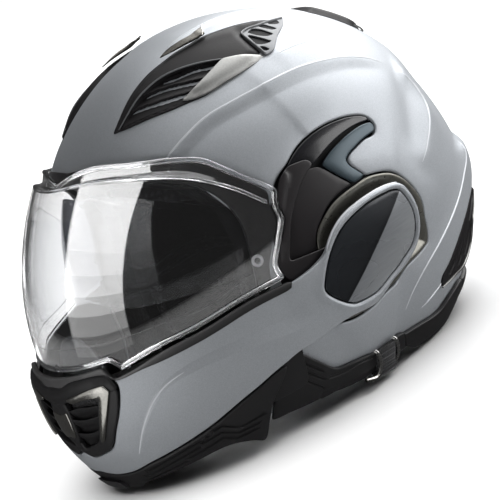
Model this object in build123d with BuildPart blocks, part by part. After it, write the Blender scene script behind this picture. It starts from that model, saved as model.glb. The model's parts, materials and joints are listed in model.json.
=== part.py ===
from build123d import *
import os
import math

os.makedirs("parts", exist_ok=True)

# ---------------------------------------------------------------- driving dimensions (mm)
YS = 3.5                      # places the middle of the helmet's length on y = 0
PY, PZ = 20.5 + YS, 107.0     # hinge axis, parallel to X
# radius of the outer form about the hinge axis; 0 deg is forward (-Y), 90 deg is up
ANG = [-90, -65, -48, -32, -15, 5, 25, 45, 65, 90, 115, 140, 165, 185, 205, 235]
R_SHELL = [139, 172, 180, 182, 178, 168, 161, 157, 154, 151.5, 149.5, 150, 150, 152.5, 146, 140]
R_CHIN = [139, 180, 196, 208, 206.5, 187, 176, 168, 162, 160, 160, 160, 160, 160, 155, 145]
R_VISOR = [150, 170, 184, 192, 192, 185, 174, 166, 166, 166, 166, 166, 166, 166, 166, 160]
R_HEAD = [150, 140, 134, 128, 124, 120, 119, 118, 118, 117, 116, 117, 118, 120, 122, 135]
R_SUN = [148] * 16
W_SHELL, W_CHIN, W_VISOR, W_HEAD, W_SUN = 120.5, 128.0, 123.0, 86.0, 107.8
EXP_X, EXP_R = 2.2, 2.12      # section exponents of the outer form
T_SHELL, T_CHIN, T_VISOR, T_SUN = 3.5, 3.5, 2.4, 2.0
PIN_R, BORE_R = 6.0, 6.06     # hinge pins and their bores
GAP = 0.3

PHI = [0, 13, 26, 38, 49, 59, 68, 75, 80]


def radius(table, deg):
    """Periodic cubic (Catmull-Rom) reading of a radius table."""
    n = len(ANG)
    ext_a = [a - 360 for a in ANG[-3:]] + ANG + [a + 360 for a in ANG[:3]]
    ext_r = list(table[-3:]) + list(table) + list(table[:3])
    for i in range(1, len(ext_a) - 2):
        if ext_a[i] <= deg <= ext_a[i + 1]:
            h = ext_a[i + 1] - ext_a[i]
            t = (deg - ext_a[i]) / h
            m0 = (ext_r[i + 1] - ext_r[i - 1]) / (ext_a[i + 1] - ext_a[i - 1]) * h
            m1 = (ext_r[i + 2] - ext_r[i]) / (ext_a[i + 2] - ext_a[i]) * h
            return ((2 * t**3 - 3 * t**2 + 1) * ext_r[i] + (t**3 - 2 * t**2 + t) * m0
                    + (-2 * t**3 + 3 * t**2) * ext_r[i + 1] + (t**3 - t**2) * m1)
    return ext_r[-1]


def form(table, width, off=0.0):
    """Closed rounded form: side-view sections lofted across X."""
    w = width + off
    xs = [w * math.sin(math.radians(p)) ** (2 / EXP_X) for p in PHI]
    fs = [math.cos(math.radians(p)) ** (2 / EXP_R) for p in PHI]
    pairs = [(-x, f) for x, f in zip(xs[:0:-1], fs[:0:-1])] + list(zip(xs, fs))
    with BuildPart() as body:
        for x, f in pairs:
            with BuildSketch(Plane.YZ.offset(x)):
                with BuildLine():
                    pts = []
                    for k in range(24):
                        d = -90 + 15 * k
                        r = (radius(table, d) + off) * f
                        pts.append((PY - r * math.cos(math.radians(d)), PZ + r * math.sin(math.radians(d))))
                    Spline(*pts, periodic=True)
                make_face()
        loft()
    return body.part


def side(pts):
    """Side-view outline (y, z) as a filled sketch, moved with the helmet's length datum."""
    with BuildSketch(Plane.YZ) as s:
        with BuildLine():
            Polyline(*[(y + YS, z) for y, z in pts], close=True)
        make_face()
    return s.sketch


def plan(pts):
    """Plan-view outline (x, y)."""
    with BuildSketch(Plane.XY) as s:
        with BuildLine():
            Polyline(*[(x, y + YS) for x, y in pts], close=True)
        make_face()
    return s.sketch


def front(pts):
    """Front-view outline (x, z)."""
    with BuildSketch(Plane.XZ) as s:
        with BuildLine():
            Polyline(*pts, close=True)
        make_face()
    return s.sketch


def save(builder, name):
    builder.part.label = name
    export_step(builder.part, "parts/" + name + ".step")
    print(name, len(builder.part.solids()), round(builder.part.volume / 1000, 1))


# ---------------------------------------------------------------- the forms that pieces are cut from
shell_out = form(R_SHELL, W_SHELL)
shell_in = form(R_SHELL, W_SHELL, -T_SHELL)
shell_skin = form(R_SHELL, W_SHELL, GAP)
shell_p3 = form(R_SHELL, W_SHELL, 3.2)
shell_p5 = form(R_SHELL, W_SHELL, 5.0)
foam_out = form(R_SHELL, W_SHELL, -T_SHELL - GAP)
foam_low = form(R_SUN, W_SUN, -T_SUN - 1.0)
head_out = form(R_HEAD, W_HEAD)
head_pad = form(R_HEAD, W_HEAD, -0.4)
head_in = form(R_HEAD, W_HEAD, -9.0)
chin_out = form(R_CHIN, W_CHIN)
chin_in = form(R_CHIN, W_CHIN, -T_CHIN)
chin_foam_out = form(R_CHIN, W_CHIN, -T_CHIN - 2.6)
chin_foam_in = form(R_CHIN, W_CHIN, -20.0)
chin_p2 = form(R_CHIN, W_CHIN, 1.8)
chin_skin = form(R_CHIN, W_CHIN, 0.05)
visor_out = form(R_VISOR, W_VISOR)
visor_in = form(R_VISOR, W_VISOR, -T_VISOR)
sun_out = form(R_SUN, W_SUN)
sun_in = form(R_SUN, W_SUN, -T_SUN)
# round form that the visor arms sweep clear of at every angle
swept_clear = form([164.6] * 16, W_VISOR - T_VISOR - 0.5)
print("forms made")

# hinge pocket outline: round at the back, open towards the visor
POCKET_C = (21.5, 97.0)
POCKET_R = 51.0
POCKET_X = 112.0

# ---------------------------------------------------------------- outer shell
SHELL_SIDE = [(-150, 206), (-112, 200), (-88, 193), (-66, 177), (-56, 150), (-60, 124), (-66, 100), (-68, 62),
              (-86, 21), (-79, 21), (-45, 17), (-17, 14), (2, 12), (25, 10), (56, 6), (98, 5), (230, 5),
              (230, 300), (-150, 300)]
with BuildPart() as outer_shell:
    add(shell_out)
    add(shell_in, mode=Mode.SUBTRACT)
    for sx in (1, -1):
        with BuildSketch(Plane.YZ.offset(sx * 108.6)):
            with Locations((POCKET_C[0] + YS, POCKET_C[1])):
                Circle(POCKET_R + 3.0)
        extrude(amount=sx * 11.0)
    add(shell_out, mode=Mode.INTERSECT)
    for sx in (1, -1):
        with BuildSketch(Plane.YZ.offset(sx * POCKET_X)):
            with Locations((POCKET_C[0] + YS, POCKET_C[1])):
                Circle(POCKET_R)
            with BuildLine():
                Polyline(*[(y + YS, z) for y, z in [(21, 148), (3, 160), (-20, 168), (-40, 160), (-75, 150), (-75, 60), (-28, 60), (21, 60)]], close=True)
            make_face()
        extrude(amount=sx * 20.0, mode=Mode.SUBTRACT)
    extrude(side(SHELL_SIDE), amount=140, both=True, mode=Mode.INTERSECT)
    with BuildSketch(Plane.YZ):
        with Locations((PY, PZ)):
            Circle(PIN_R + 0.02)
    extrude(amount=140, both=True, mode=Mode.SUBTRACT)
save(outer_shell, "outer_shell")

# ---------------------------------------------------------------- impact liner
FOAM_SIDE = [(-150, 200), (-106, 197), (-84, 189), (-60, 172), (-49, 150), (-50, 124), (-56, 100), (-60, 66),
             (-72, 30), (-45, 25), (2, 25), (56, 25), (98, 25), (230, 25), (230, 300), (-150, 300)]
with BuildPart() as foam_cap:
    add(foam_low)
    extrude(side([(-200, 88), (40, 88), (40, 300), (-200, 300)]), amount=140, both=True, mode=Mode.INTERSECT)
with BuildPart() as eps_liner:
    add(foam_out)
    extrude(side([(-200, 88), (40, 88), (40, 300), (-200, 300)]), amount=140, both=True, mode=Mode.SUBTRACT)
    add(foam_cap.part)
    for sx in (1, -1):
        with BuildSketch(Plane.YZ.offset(sx * 104.6)):
            with Locations((POCKET_C[0] + YS, POCKET_C[1])):
                Circle(POCKET_R + 3.4)
        extrude(amount=sx * 20.0, mode=Mode.SUBTRACT)
    with BuildSketch(Plane.YZ):
        with Locations((8 + YS, 58)):
            Circle(4.3)
    extrude(amount=120, both=True, mode=Mode.SUBTRACT)
    add(head_out, mode=Mode.SUBTRACT)
    extrude(side(FOAM_SIDE), amount=140, both=True, mode=Mode.INTERSECT)
    extrude(front([(-104, 20), (104, 20), (104, 300), (-104, 300)]), amount=200, both=True, mode=Mode.INTERSECT)
    # moulded in quarters that are bonded together
    split(bisect_by=Plane.YZ, keep=Keep.BOTH)
    split(bisect_by=Plane.XZ.offset(-24.0), keep=Keep.BOTH)
save(eps_liner, "eps_liner")

# ---------------------------------------------------------------- comfort pads
with BuildPart() as crown_pad:
    add(head_pad)
    add(head_in, mode=Mode.SUBTRACT)
    extrude(side([(-90, 178), (-60, 160), (40, 150), (120, 150), (128, 170), (90, 260), (-80, 260)]), amount=66, both=True, mode=Mode.INTERSECT)
save(crown_pad, "crown_pad")

with BuildPart() as cheek_pad_left:
    add(form(R_HEAD, W_HEAD, -4.6))
    extrude(side([(-54, 100), (-58, 66), (-66, 41), (-40, 28.6), (20, 28.6), (34, 60), (30, 96), (0, 108), (-40, 108)]), amount=100, mode=Mode.INTERSECT)
    with BuildSketch(Plane.YZ):
        Rectangle(400, 600)
    extrude(amount=56, mode=Mode.SUBTRACT)
save(cheek_pad_left, "cheek_pad_left")
with BuildPart() as cheek_pad_right:
    mirror(cheek_pad_left.part, about=Plane.YZ)
save(cheek_pad_right, "cheek_pad_right")

foam_neck_in = form(R_SHELL, W_SHELL, -27.0)
foam_neck_out = form(R_SHELL, W_SHELL, -T_SHELL - 0.4)
with BuildPart() as neck_roll:
    add(foam_neck_out)
    add(foam_neck_in, mode=Mode.SUBTRACT)
    extrude(side([(40, 5.5), (56, 2.5), (98, 0), (160, 0), (160, 24.5), (40, 24.5)]), amount=110, both=True, mode=Mode.INTERSECT)
save(neck_roll, "neck_roll")

# ---------------------------------------------------------------- face opening seal
with BuildPart() as eyeport_seal:
    add(shell_skin)
    add(form(R_SHELL, W_SHELL, -T_SHELL + 0.1), mode=Mode.SUBTRACT)
    extrude(side([(-150, 205.7), (-112, 199.6), (-88.2, 192.6), (-66.6, 176.8), (-69.5, 174.5), (-90, 189), (-113, 196), (-150, 202)]), amount=100, both=True, mode=Mode.INTERSECT)
save(eyeport_seal, "eyeport_seal")

# ---------------------------------------------------------------- lower trims fixed to the shell
SKIRT_SIDE = [(-88.5, 19), (-70, 43), (-57, 55), (-37, 31), (-5, 26), (26, 22), (64, 19), (87, 26), (100, 25), (100, 0),
              (90, 0), (56, 2), (25, 7), (2, 9), (-17, 11), (-45, 14), (-69, 16), (-79, 18)]
with BuildPart() as side_skirt_left:
    add(shell_p3)
    add(shell_skin, mode=Mode.SUBTRACT)
    extrude(side(SKIRT_SIDE), amount=140, mode=Mode.INTERSECT)
save(side_skirt_left, "side_skirt_left")
with BuildPart() as side_skirt_right:
    mirror(side_skirt_left.part, about=Plane.YZ)
save(side_skirt_right, "side_skirt_right")

with BuildPart() as rear_neck_trim:
    add(shell_p3)
    add(shell_skin, mode=Mode.SUBTRACT)
    extrude(side([(100.2, 25), (100.2, 0), (170, 0), (170, 22), (130, 24)]), amount=110, both=True, mode=Mode.INTERSECT)
save(rear_neck_trim, "rear_neck_trim")

# ---------------------------------------------------------------- crown vents
VENT_PLAN = [(42, -82), (40, -65), (39, -50), (40, -37), (45, -25), (46, -2), (48, 14), (50, 33), (51, 47), (53, 62),
             (65, 48), (74, 34), (80, 22), (82, -2), (81, -23), (77, -40), (73, -44), (58, -65)]
GRILLE_PLAN = [(53, 61), (61, 24), (79.5, 22.5), (74, 33.5), (65, 47.5)]
BLADE_PLAN = [(70, -6), (79.5, 21), (81.6, -2), (80.6, -23), (76.8, -39.5), (72.8, -43.5)]
SLIDE_PLAN = [(44.5, -24), (49, -26), (53, -14), (56.5, 3), (50, 8), (46.5, 8), (47, -4)]
shell_p5v = form(R_SHELL, W_SHELL, 4.4)
shell_p6v = form(R_SHELL, W_SHELL, 5.15)
with BuildPart() as top_vent_housing_left:
    extrude(plan(VENT_PLAN), amount=300)
    extrude(plan(GRILLE_PLAN), amount=300, mode=Mode.SUBTRACT)
    add(shell_p5v, mode=Mode.INTERSECT)
    add(shell_skin, mode=Mode.SUBTRACT)
save(top_vent_housing_left, "top_vent_housing_left")
with BuildPart() as top_vent_housing_right:
    mirror(top_vent_housing_left.part, about=Plane.YZ)
save(top_vent_housing_right, "top_vent_housing_right")

with BuildPart() as top_vent_blade_left:
    extrude(plan(BLADE_PLAN), amount=300)
    add(shell_p6v, mode=Mode.INTERSECT)
    add(form(R_SHELL, W_SHELL, 4.45), mode=Mode.SUBTRACT)
save(top_vent_blade_left, "top_vent_blade_left")
with BuildPart() as top_vent_blade_right:
    mirror(top_vent_blade_left.part, about=Plane.YZ)
save(top_vent_blade_right, "top_vent_blade_right")

with BuildPart() as top_vent_grille_left:
    extrude(plan([(53.6, 59.5), (61.4, 24.6), (78.6, 23), (73.7, 33), (64.8, 47)]), amount=300)
    for k in range(4):
        with BuildSketch(Plane.XY):
            with Locations(Location((59.6 + 4.6 * k, 38.5 - 2.4 * k + YS), -66)):
                Rectangle(11 - 1.2 * k, 2.2)
        extrude(amount=300, mode=Mode.SUBTRACT)
    add(form(R_SHELL, W_SHELL, 3.4), mode=Mode.INTERSECT)
    add(shell_skin, mode=Mode.SUBTRACT)
save(top_vent_grille_left, "top_vent_grille_left")
with BuildPart() as top_vent_grille_right:
    mirror(top_vent_grille_left.part, about=Plane.YZ)
save(top_vent_grille_right, "top_vent_grille_right")

# sliding switch on each crown vent
with BuildPart() as top_vent_slider_left:
    extrude(plan(SLIDE_PLAN), amount=300)
    add(form(R_SHELL, W_SHELL, 7.0), mode=Mode.INTERSECT)
    add(form(R_SHELL, W_SHELL, 5.3), mode=Mode.SUBTRACT)
save(top_vent_slider_left, "top_vent_slider_left")
with BuildPart() as top_vent_slider_right:
    mirror(top_vent_slider_left.part, about=Plane.YZ)
save(top_vent_slider_right, "top_vent_slider_right")

# ---------------------------------------------------------------- rear vents
with BuildPart() as rear_exhaust_vent:
    extrude(plan([(-34, 96), (-40, 122), (-26, 136), (26, 136), (40, 122), (34, 96), (14, 102), (-14, 102)]), amount=300)
    with BuildSketch(Plane.XY):
        with Locations((-15, 118 + YS), (0, 118 + YS), (15, 118 + YS)):
            SlotOverall(16, 4.4, rotation=90)
    extrude(amount=300, mode=Mode.SUBTRACT)
    with BuildSketch(Plane.XY.offset(170)):
        Rectangle(300, 500)
    extrude(amount=-200, mode=Mode.SUBTRACT)
    add(shell_p5, mode=Mode.INTERSECT)
    add(shell_skin, mode=Mode.SUBTRACT)
save(rear_exhaust_vent, "rear_exhaust_vent")

with BuildPart() as rear_outlet_left:
    extrude(side([(124, 96), (134, 78), (120, 60), (98, 50), (80, 42), (64, 34), (66, 46), (84, 58), (104, 70), (114, 80)]), amount=140)
    with BuildSketch(Plane.YZ):
        with Locations(Location((92 + YS, 57), 28), Location((105 + YS, 65), 32)):
            SlotOverall(11, 3.2)
    extrude(amount=140, mode=Mode.SUBTRACT)
    add(form(R_SHELL, W_SHELL, 3.6), mode=Mode.INTERSECT)
    add(shell_skin, mode=Mode.SUBTRACT)
save(rear_outlet_left, "rear_outlet_left")
with BuildPart() as rear_outlet_right:
    mirror(rear_outlet_left.part, about=Plane.YZ)
save(rear_outlet_right, "rear_outlet_right")

# ---------------------------------------------------------------- side hinge, fixed pieces
with BuildPart() as hinge_base_left:
    with BuildSketch(Plane.YZ.offset(POCKET_X + 0.05)):
        with Locations((POCKET_C[0] + YS, POCKET_C[1])):
            Circle(POCKET_R - 0.6)
        with Locations((PY, PZ)):
            Circle(PIN_R + 0.02, mode=Mode.SUBTRACT)
    extrude(amount=2.2)
    with BuildSketch(Plane.YZ):
        with Locations((44 + YS, 78), (-2 + YS, 72)):
            Circle(2.05)
    extrude(amount=140, mode=Mode.SUBTRACT)
    add(swept_clear, mode=Mode.INTERSECT)
save(hinge_base_left, "hinge_base_left")
with BuildPart() as hinge_base_right:
    mirror(hinge_base_left.part, about=Plane.YZ)
save(hinge_base_right, "hinge_base_right")

with BuildPart() as hinge_hook_left:
    extrude(side([(7, 155), (20, 161), (35, 164), (49, 164), (60, 162), (58, 156), (47, 156), (36, 154), (26, 151.5), (10, 149.8)]), amount=140)
    add(form(R_SHELL, W_SHELL, 1.1), mode=Mode.INTERSECT)
    add(swept_clear, mode=Mode.INTERSECT)
    add(shell_skin, mode=Mode.SUBTRACT)
save(hinge_hook_left, "hinge_hook_left")
with BuildPart() as hinge_hook_right:
    mirror(hinge_hook_left.part, about=Plane.YZ)
save(hinge_hook_right, "hinge_hook_right")

with BuildPart() as hinge_crescents:
    extrude(side([(-8, 167.6), (7, 173), (17, 174.5), (31, 174), (45, 172), (56, 168), (60.5, 162.8), (49, 164.8), (35, 164.8), (20, 161.8), (6, 157.5), (3, 160.5)]), amount=140)
    add(form(R_SHELL, W_SHELL, 1.0), mode=Mode.INTERSECT)
    add(swept_clear, mode=Mode.INTERSECT)
    add(shell_skin, mode=Mode.SUBTRACT)
    mirror(about=Plane.YZ)
save(hinge_crescents, "hinge_crescents")

RING = [(16, 137), (31, 139.5), (42, 138), (54, 133.5), (63, 126), (70, 115), (73, 100), (72, 86), (69, 74), (61, 62),
        (48, 53), (30, 48), (8, 49), (-9, 54), (-24, 60), (-30, 63), (-16, 60), (8, 56), (26, 57.5), (40, 62), (52, 70),
        (62, 81), (65.5, 97), (62.5, 110), (56, 120), (46, 128), (33, 131.5), (20, 130.5)]
with BuildPart() as pod_ring_left:
    extrude(side(RING), amount=119.6)
    with BuildSketch(Plane.YZ):
        Rectangle(600, 800)
    extrude(amount=112.3, mode=Mode.SUBTRACT)
    add(form(R_SHELL, W_SHELL, 2.6), mode=Mode.INTERSECT)
    add(swept_clear, mode=Mode.INTERSECT)
    with BuildSketch(Plane.YZ):
        with Locations((POCKET_C[0] + YS, POCKET_C[1])):
            Circle(POCKET_R - 0.5)
    extrude(amount=114.4, mode=Mode.SUBTRACT)
    add(outer_shell.part, mode=Mode.SUBTRACT)
    with BuildSketch(Plane.YZ):
        with Locations((POCKET_C[0] + YS, POCKET_C[1])):
            Circle(POCKET_R - 0.35)
    extrude(amount=140, mode=Mode.INTERSECT)
save(pod_ring_left, "pod_ring_left")
with BuildPart() as pod_ring_right:
    mirror(pod_ring_left.part, about=Plane.YZ)
save(pod_ring_right, "pod_ring_right")

with BuildPart() as pivot_pins:
    for sx in (1, -1):
        with BuildSketch(Plane.YZ.offset(sx * 107.9)):
            with Locations((PY, PZ)):
                Circle(PIN_R)
        extrude(amount=sx * 17.5)
        with BuildSketch(Plane.YZ.offset(sx * 107.9)):
            with Locations((PY, PZ)):
                Circle(8.0)
        extrude(amount=sx * 0.65)
save(pivot_pins, "pivot_pins")

with BuildPart() as hinge_screws:
    for sx in (1, -1):
        with BuildSketch(Plane.YZ.offset(sx * (POCKET_X + 2.3))):
            with Locations((44 + YS, 78), (-2 + YS, 72)):
                Circle(3.6)
                RegularPolygon(1.5, 6, mode=Mode.SUBTRACT)
        extrude(amount=sx * 1.6)
        with BuildSketch(Plane.YZ.offset(sx * (POCKET_X + 0.1))):
            with Locations((44 + YS, 78), (-2 + YS, 72)):
                Circle(2.0)
        extrude(amount=sx * 2.2)
save(hinge_screws, "hinge_screws")

# ---------------------------------------------------------------- chin bar
CHIN_TOP = [(-17, 105), (-48, 100), (-76, 100), (-110, 95.5), (-135, 92.5), (-157, 87), (-170, 90), (-200, 96)]
CHIN_REAR = [(-14, 60), (-30, 60), (-57, 54), (-73, 41.5), (-92.5, 15.5)]
TRIM_TOP = [(-95, 22), (-101, 27.5), (-106, 26.5), (-118, 34), (-158, 20), (-200, 8)]
POD = [(-17, 105), (-10, 111), (-2, 115), (11, 120), (28, 122), (44, 122), (56, 117), (59, 103), (56, 84), (47, 76),
       (37, 68), (18, 60.5), (4, 59.5), (-14, 60)]
with BuildPart() as chin_bar_shell:
    add(chin_out)
    add(chin_in, mode=Mode.SUBTRACT)
    extrude(side(CHIN_TOP + [(-200, 8.4), (-158, 20.4), (-118, 34.4), (-106, 26.9), (-101, 27.9), (-94.4, 22.2)] + CHIN_REAR[::-1][1:] + POD[::-1][1:-1]),
            amount=140, both=True, mode=Mode.INTERSECT)
    extrude(front([(-46, 77), (46, 77), (36, 45), (13, 34), (-13, 34), (-36, 45)]), amount=400, mode=Mode.SUBTRACT)
    for sx in (1, -1):
        with BuildSketch(Plane.YZ.offset(sx * 123.0)):
            with Locations((PY, PZ)):
                Circle(12.0)
        extrude(amount=sx * 2.5)
    with BuildSketch(Plane.YZ):
        with Locations((PY, PZ)):
            Circle(BORE_R)
    extrude(amount=140, both=True, mode=Mode.SUBTRACT)
save(chin_bar_shell, "chin_bar_shell")

with BuildPart() as chin_bar_liner:
    add(chin_foam_out)
    add(chin_foam_in, mode=Mode.SUBTRACT)
    extrude(side([(-113, 90), (-135, 88), (-157, 83), (-200, 86), (-200, 24), (-158, 24), (-118, 38), (-113, 37)]), amount=88, both=True, mode=Mode.INTERSECT)
    extrude(front([(-40, 80), (40, 80), (40, 36), (-40, 36)]), amount=400, mode=Mode.SUBTRACT)
save(chin_bar_liner, "chin_bar_liner")

with BuildPart() as chin_lower_trim:
    add(form(R_CHIN, W_CHIN, 0.4))
    add(form(R_CHIN, W_CHIN, -4.6), mode=Mode.SUBTRACT)
    extrude(side([(-92.6, 15.5), (-94.6, 21.6), (-101, 27.3), (-106, 26.3), (-118, 33.6), (-158, 19.6), (-200, 7.6), (-200, 0.4), (-157, 0.4), (-150, 6), (-132, 13), (-102, 15)]),
            amount=140, both=True, mode=Mode.INTERSECT)
    with BuildSketch(Plane.XZ.offset(120)):
        with Locations((0, 9)):
            Rectangle(30.8, 8.8)
    extrude(amount=100, mode=Mode.SUBTRACT)
save(chin_lower_trim, "chin_lower_trim")

# black beak over the chin vent
with BuildPart() as chin_vent_cap:
    add(chin_p2)
    add(chin_skin, mode=Mode.SUBTRACT)
    extrude(front([(-49, 91), (-49, 84.5), (-14, 79), (-8, 75), (8, 75), (14, 79), (49, 84.5), (49, 91)]), amount=400, mode=Mode.INTERSECT)
    extrude(side([(-100, 0), (-100, 88), (-157, 86.5), (-170, 89.5), (-220, 99), (-220, 0)]), amount=140, both=True, mode=Mode.INTERSECT)
save(chin_vent_cap, "chin_vent_cap")

with BuildPart() as chin_vent_trim:
    add(form(R_CHIN, W_CHIN, 1.5))
    add(form(R_CHIN, W_CHIN, -3.3), mode=Mode.SUBTRACT)
    trim_outline = front([(14.3, 78.6), (49, 84.1), (52, 80), (47, 70), (36, 46.5), (33, 46.5), (43.5, 76.5), (17, 75.5)])
    far_outline = front([(-14.3, 78.6), (-49, 84.1), (-52, 80), (-47, 70), (-36, 46.5), (-33, 46.5), (-43.5, 76.5), (-17, 75.5)])
    extrude(trim_outline + far_outline, amount=400, mode=Mode.INTERSECT)
    add(chin_bar_shell.part, mode=Mode.SUBTRACT)
save(chin_vent_trim, "chin_vent_trim")

with BuildPart() as chin_vent_mesh:
    add(form(R_CHIN, W_CHIN, -T_CHIN - 0.1))
    add(form(R_CHIN, W_CHIN, -T_CHIN - 2.3), mode=Mode.SUBTRACT)
    extrude(front([(-48, 80), (48, 80), (39, 43), (14, 31), (-14, 31), (-39, 43)]), amount=400, mode=Mode.INTERSECT)
    with BuildSketch(Plane.XZ):
        with Locations((25, 70), (25, 59), (22, 48), (-25, 70), (-25, 59), (-22, 48)):
            Rectangle(24, 5)
    extrude(amount=400, mode=Mode.SUBTRACT)
save(chin_vent_mesh, "chin_vent_mesh")

# vertical bar in the middle of the chin vent
with BuildPart() as chin_vent_bar:
    add(form(R_CHIN, W_CHIN, 1.0))
    add(form(R_CHIN, W_CHIN, -T_CHIN), mode=Mode.SUBTRACT)
    extrude(front([(-8, 74.6), (8, 74.6), (8, 52), (5, 38), (-5, 38), (-8, 52)]), amount=400, mode=Mode.INTERSECT)
save(chin_vent_bar, "chin_vent_bar")

# sliding shutter behind the chin vent
with BuildPart() as chin_vent_shutter:
    with BuildSketch(Plane.XZ.offset(164.0 - YS)):
        with Locations((0, 56)):
            RectangleRounded(58, 26, 3)
        with Locations((-14, 61), (14, 61), (-14, 51), (14, 51)):
            SlotOverall(20, 3.2, mode=Mode.SUBTRACT)
    extrude(amount=2.0)
    with BuildSketch(Plane.XZ.offset(158.0 - YS)):
        with Locations((0, 56)):
            RectangleRounded(14, 7, 2)
    extrude(amount=6.0)
save(chin_vent_shutter, "chin_vent_shutter")

# side pods: dark inserts on the chin bar ends
INSERT = [(54, 115), (29, 117), (9, 114), (-7, 106), (-17, 96), (-26, 82), (-14, 66), (5, 65), (29, 71), (46, 79), (55, 89), (57, 101)]
with BuildPart() as pod_insert_left:
    extrude(side(INSERT), amount=140)
    add(form(R_CHIN, W_CHIN, 3.4), mode=Mode.INTERSECT)
    add(form(R_CHIN, W_CHIN, 0.25), mode=Mode.SUBTRACT)
save(pod_insert_left, "pod_insert_left")
with BuildPart() as pod_insert_right:
    mirror(pod_insert_left.part, about=Plane.YZ)
save(pod_insert_right, "pod_insert_right")

# breath guard: a soft deflector on the chin bar's top edge
with BuildPart() as breath_guard:
    add(form(R_CHIN, W_CHIN, -20.4))
    add(form(R_CHIN, W_CHIN, -23.0), mode=Mode.SUBTRACT)
    extrude(side([(-110, 76), (-110, 96), (-146, 118), (-200, 122), (-200, 76)]), amount=42, both=True, mode=Mode.INTERSECT)
save(breath_guard, "breath_guard")

with BuildPart() as chin_curtain:
    add(form(R_CHIN, W_CHIN, -5.2))
    extrude(side([(-200, 14.6), (-200, 17), (-120, 26), (-120, 23.6), (-158, 17.6)]), amount=78, both=True, mode=Mode.INTERSECT)
save(chin_curtain, "chin_curtain")

# chin bar catch: release button and the two hooks it pulls
with BuildPart() as release_button:
    with BuildSketch(Plane.XZ.offset(150.0 - YS)):
        with Locations((0, 9)):
            RectangleRounded(30, 8, 2.5)
    extrude(amount=20.0)
    add(form(R_CHIN, W_CHIN, 2.0), mode=Mode.INTERSECT)
    with BuildSketch(Plane.XZ.offset(141.0 - YS)):
        with Locations((0, 9)):
            Rectangle(18, 6)
    extrude(amount=9.5)
save(release_button, "release_button")

with BuildPart() as latch_hooks:
    for sx in (1, -1):
        with BuildSketch(Plane.YZ.offset(sx * 84.0)):
            with BuildLine():
                Polyline(*[(y + YS, z) for y, z in [(-108, 40), (-100, 44), (-86, 42), (-80, 36), (-82, 31), (-86, 36), (-94, 38), (-104, 33)]], close=True)
            make_face()
            with Locations((-104 + YS, 38)):
                Circle(3.4)
                Circle(1.2, mode=Mode.SUBTRACT)
        extrude(amount=sx * 3.0)
save(latch_hooks, "latch_hooks")
with BuildPart() as striker_pins:
    for sx in (1, -1):
        with BuildSketch(Plane.YZ.offset(sx * 83.0)):
            with Locations((-76 + YS, 34)):
                Circle(3.0)
        extrude(amount=sx * 9.0)
    add(shell_in, mode=Mode.INTERSECT)
save(striker_pins, "striker_pins")

# ---------------------------------------------------------------- visor
VISOR_SIDE = [(-200, 220), (-106, 211.5), (-89, 206), (-70, 199), (-57, 192), (-42, 172), (-28, 156), (-33, 147), (-33, 138),
              (-44, 123), (-51, 113), (-49, 102.5), (-76, 102.2), (-110, 97.7), (-135, 94.7), (-157, 89.4), (-170, 92.4), (-200, 98.6)]
with BuildPart() as visor_shield:
    add(visor_out)
    add(visor_in, mode=Mode.SUBTRACT)
    extrude(side(VISOR_SIDE), amount=140, both=True, mode=Mode.INTERSECT)
save(visor_shield, "visor_shield")

ARM = [(-27.4, 156), (-16, 165), (0, 163), (3, 158), (-10, 151), (-19, 145), (-28, 136), (-38, 119), (-40, 108), (-14, 108),
       (0, 120), (20.5, 123), (34, 116), (36, 104), (20.5, 91), (4, 94), (-14, 98), (-44, 97), (-48.4, 102.5), (-50.4, 113), (-43.4, 123), (-32.4, 138), (-32.4, 147)]
with BuildPart() as visor_arm_left:
    add(visor_out)
    add(form(R_VISOR, W_VISOR, -1.5), mode=Mode.SUBTRACT)
    extrude(side(ARM), amount=140, mode=Mode.INTERSECT)
    with BuildSketch(Plane.YZ):
        with Locations((PY, PZ)):
            Circle(BORE_R)
    extrude(amount=140, mode=Mode.SUBTRACT)
save(visor_arm_left, "visor_arm_left")
with BuildPart() as visor_arm_right:
    mirror(visor_arm_left.part, about=Plane.YZ)
save(visor_arm_right, "visor_arm_right")

with BuildPart() as pinlock_lens:
    add(form(R_VISOR, W_VISOR, -T_VISOR - 0.5))
    add(form(R_VISOR, W_VISOR, -T_VISOR - 1.5), mode=Mode.SUBTRACT)
    extrude(side([(-200, 190), (-100, 182), (-78, 160), (-66, 132), (-74, 114), (-110, 109), (-200, 108)]), amount=96, both=True, mode=Mode.INTERSECT)
save(pinlock_lens, "pinlock_lens")

with BuildPart() as pinlock_pins:
    for sx in (1, -1):
        with BuildSketch(Plane.YZ.offset(sx * 100)):
            with Locations((-61 + YS, 121)):
                Circle(4.0)
        extrude(amount=sx * 30)
    add(form(R_VISOR, W_VISOR, -T_VISOR - 0.05), mode=Mode.INTERSECT)
    add(form(R_VISOR, W_VISOR, -T_VISOR - 1.8), mode=Mode.SUBTRACT)
    add(pinlock_lens.part, mode=Mode.SUBTRACT)
save(pinlock_pins, "pinlock_pins")

# ---------------------------------------------------------------- sun visor and its switch
SUN_SIDE = [(-200, 214), (-104, 187), (-72, 168), (-44, 150), (-20, 136), (0, 122), (12, 118), (20.5, 118), (31, 112), (31, 101),
            (20.5, 96), (8, 97), (-20, 106), (-56, 110), (-90, 113), (-118, 116), (-134, 124), (-200, 128)]
with BuildPart() as sun_visor:
    add(sun_out)
    add(sun_in, mode=Mode.SUBTRACT)
    extrude(side(SUN_SIDE), amount=140, both=True, mode=Mode.INTERSECT)
    with BuildSketch(Plane.YZ):
        with Locations((PY, PZ)):
            Circle(4.06)
    extrude(amount=140, both=True, mode=Mode.SUBTRACT)
save(sun_visor, "sun_visor")

with BuildPart() as sun_visor_pins:
    for sx in (1, -1):
        with BuildSketch(Plane.YZ.offset(sx * 104.65)):
            with Locations((PY, PZ)):
                Circle(4.0)
        extrude(amount=sx * 3.15)
save(sun_visor_pins, "sun_visor_pins")

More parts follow.
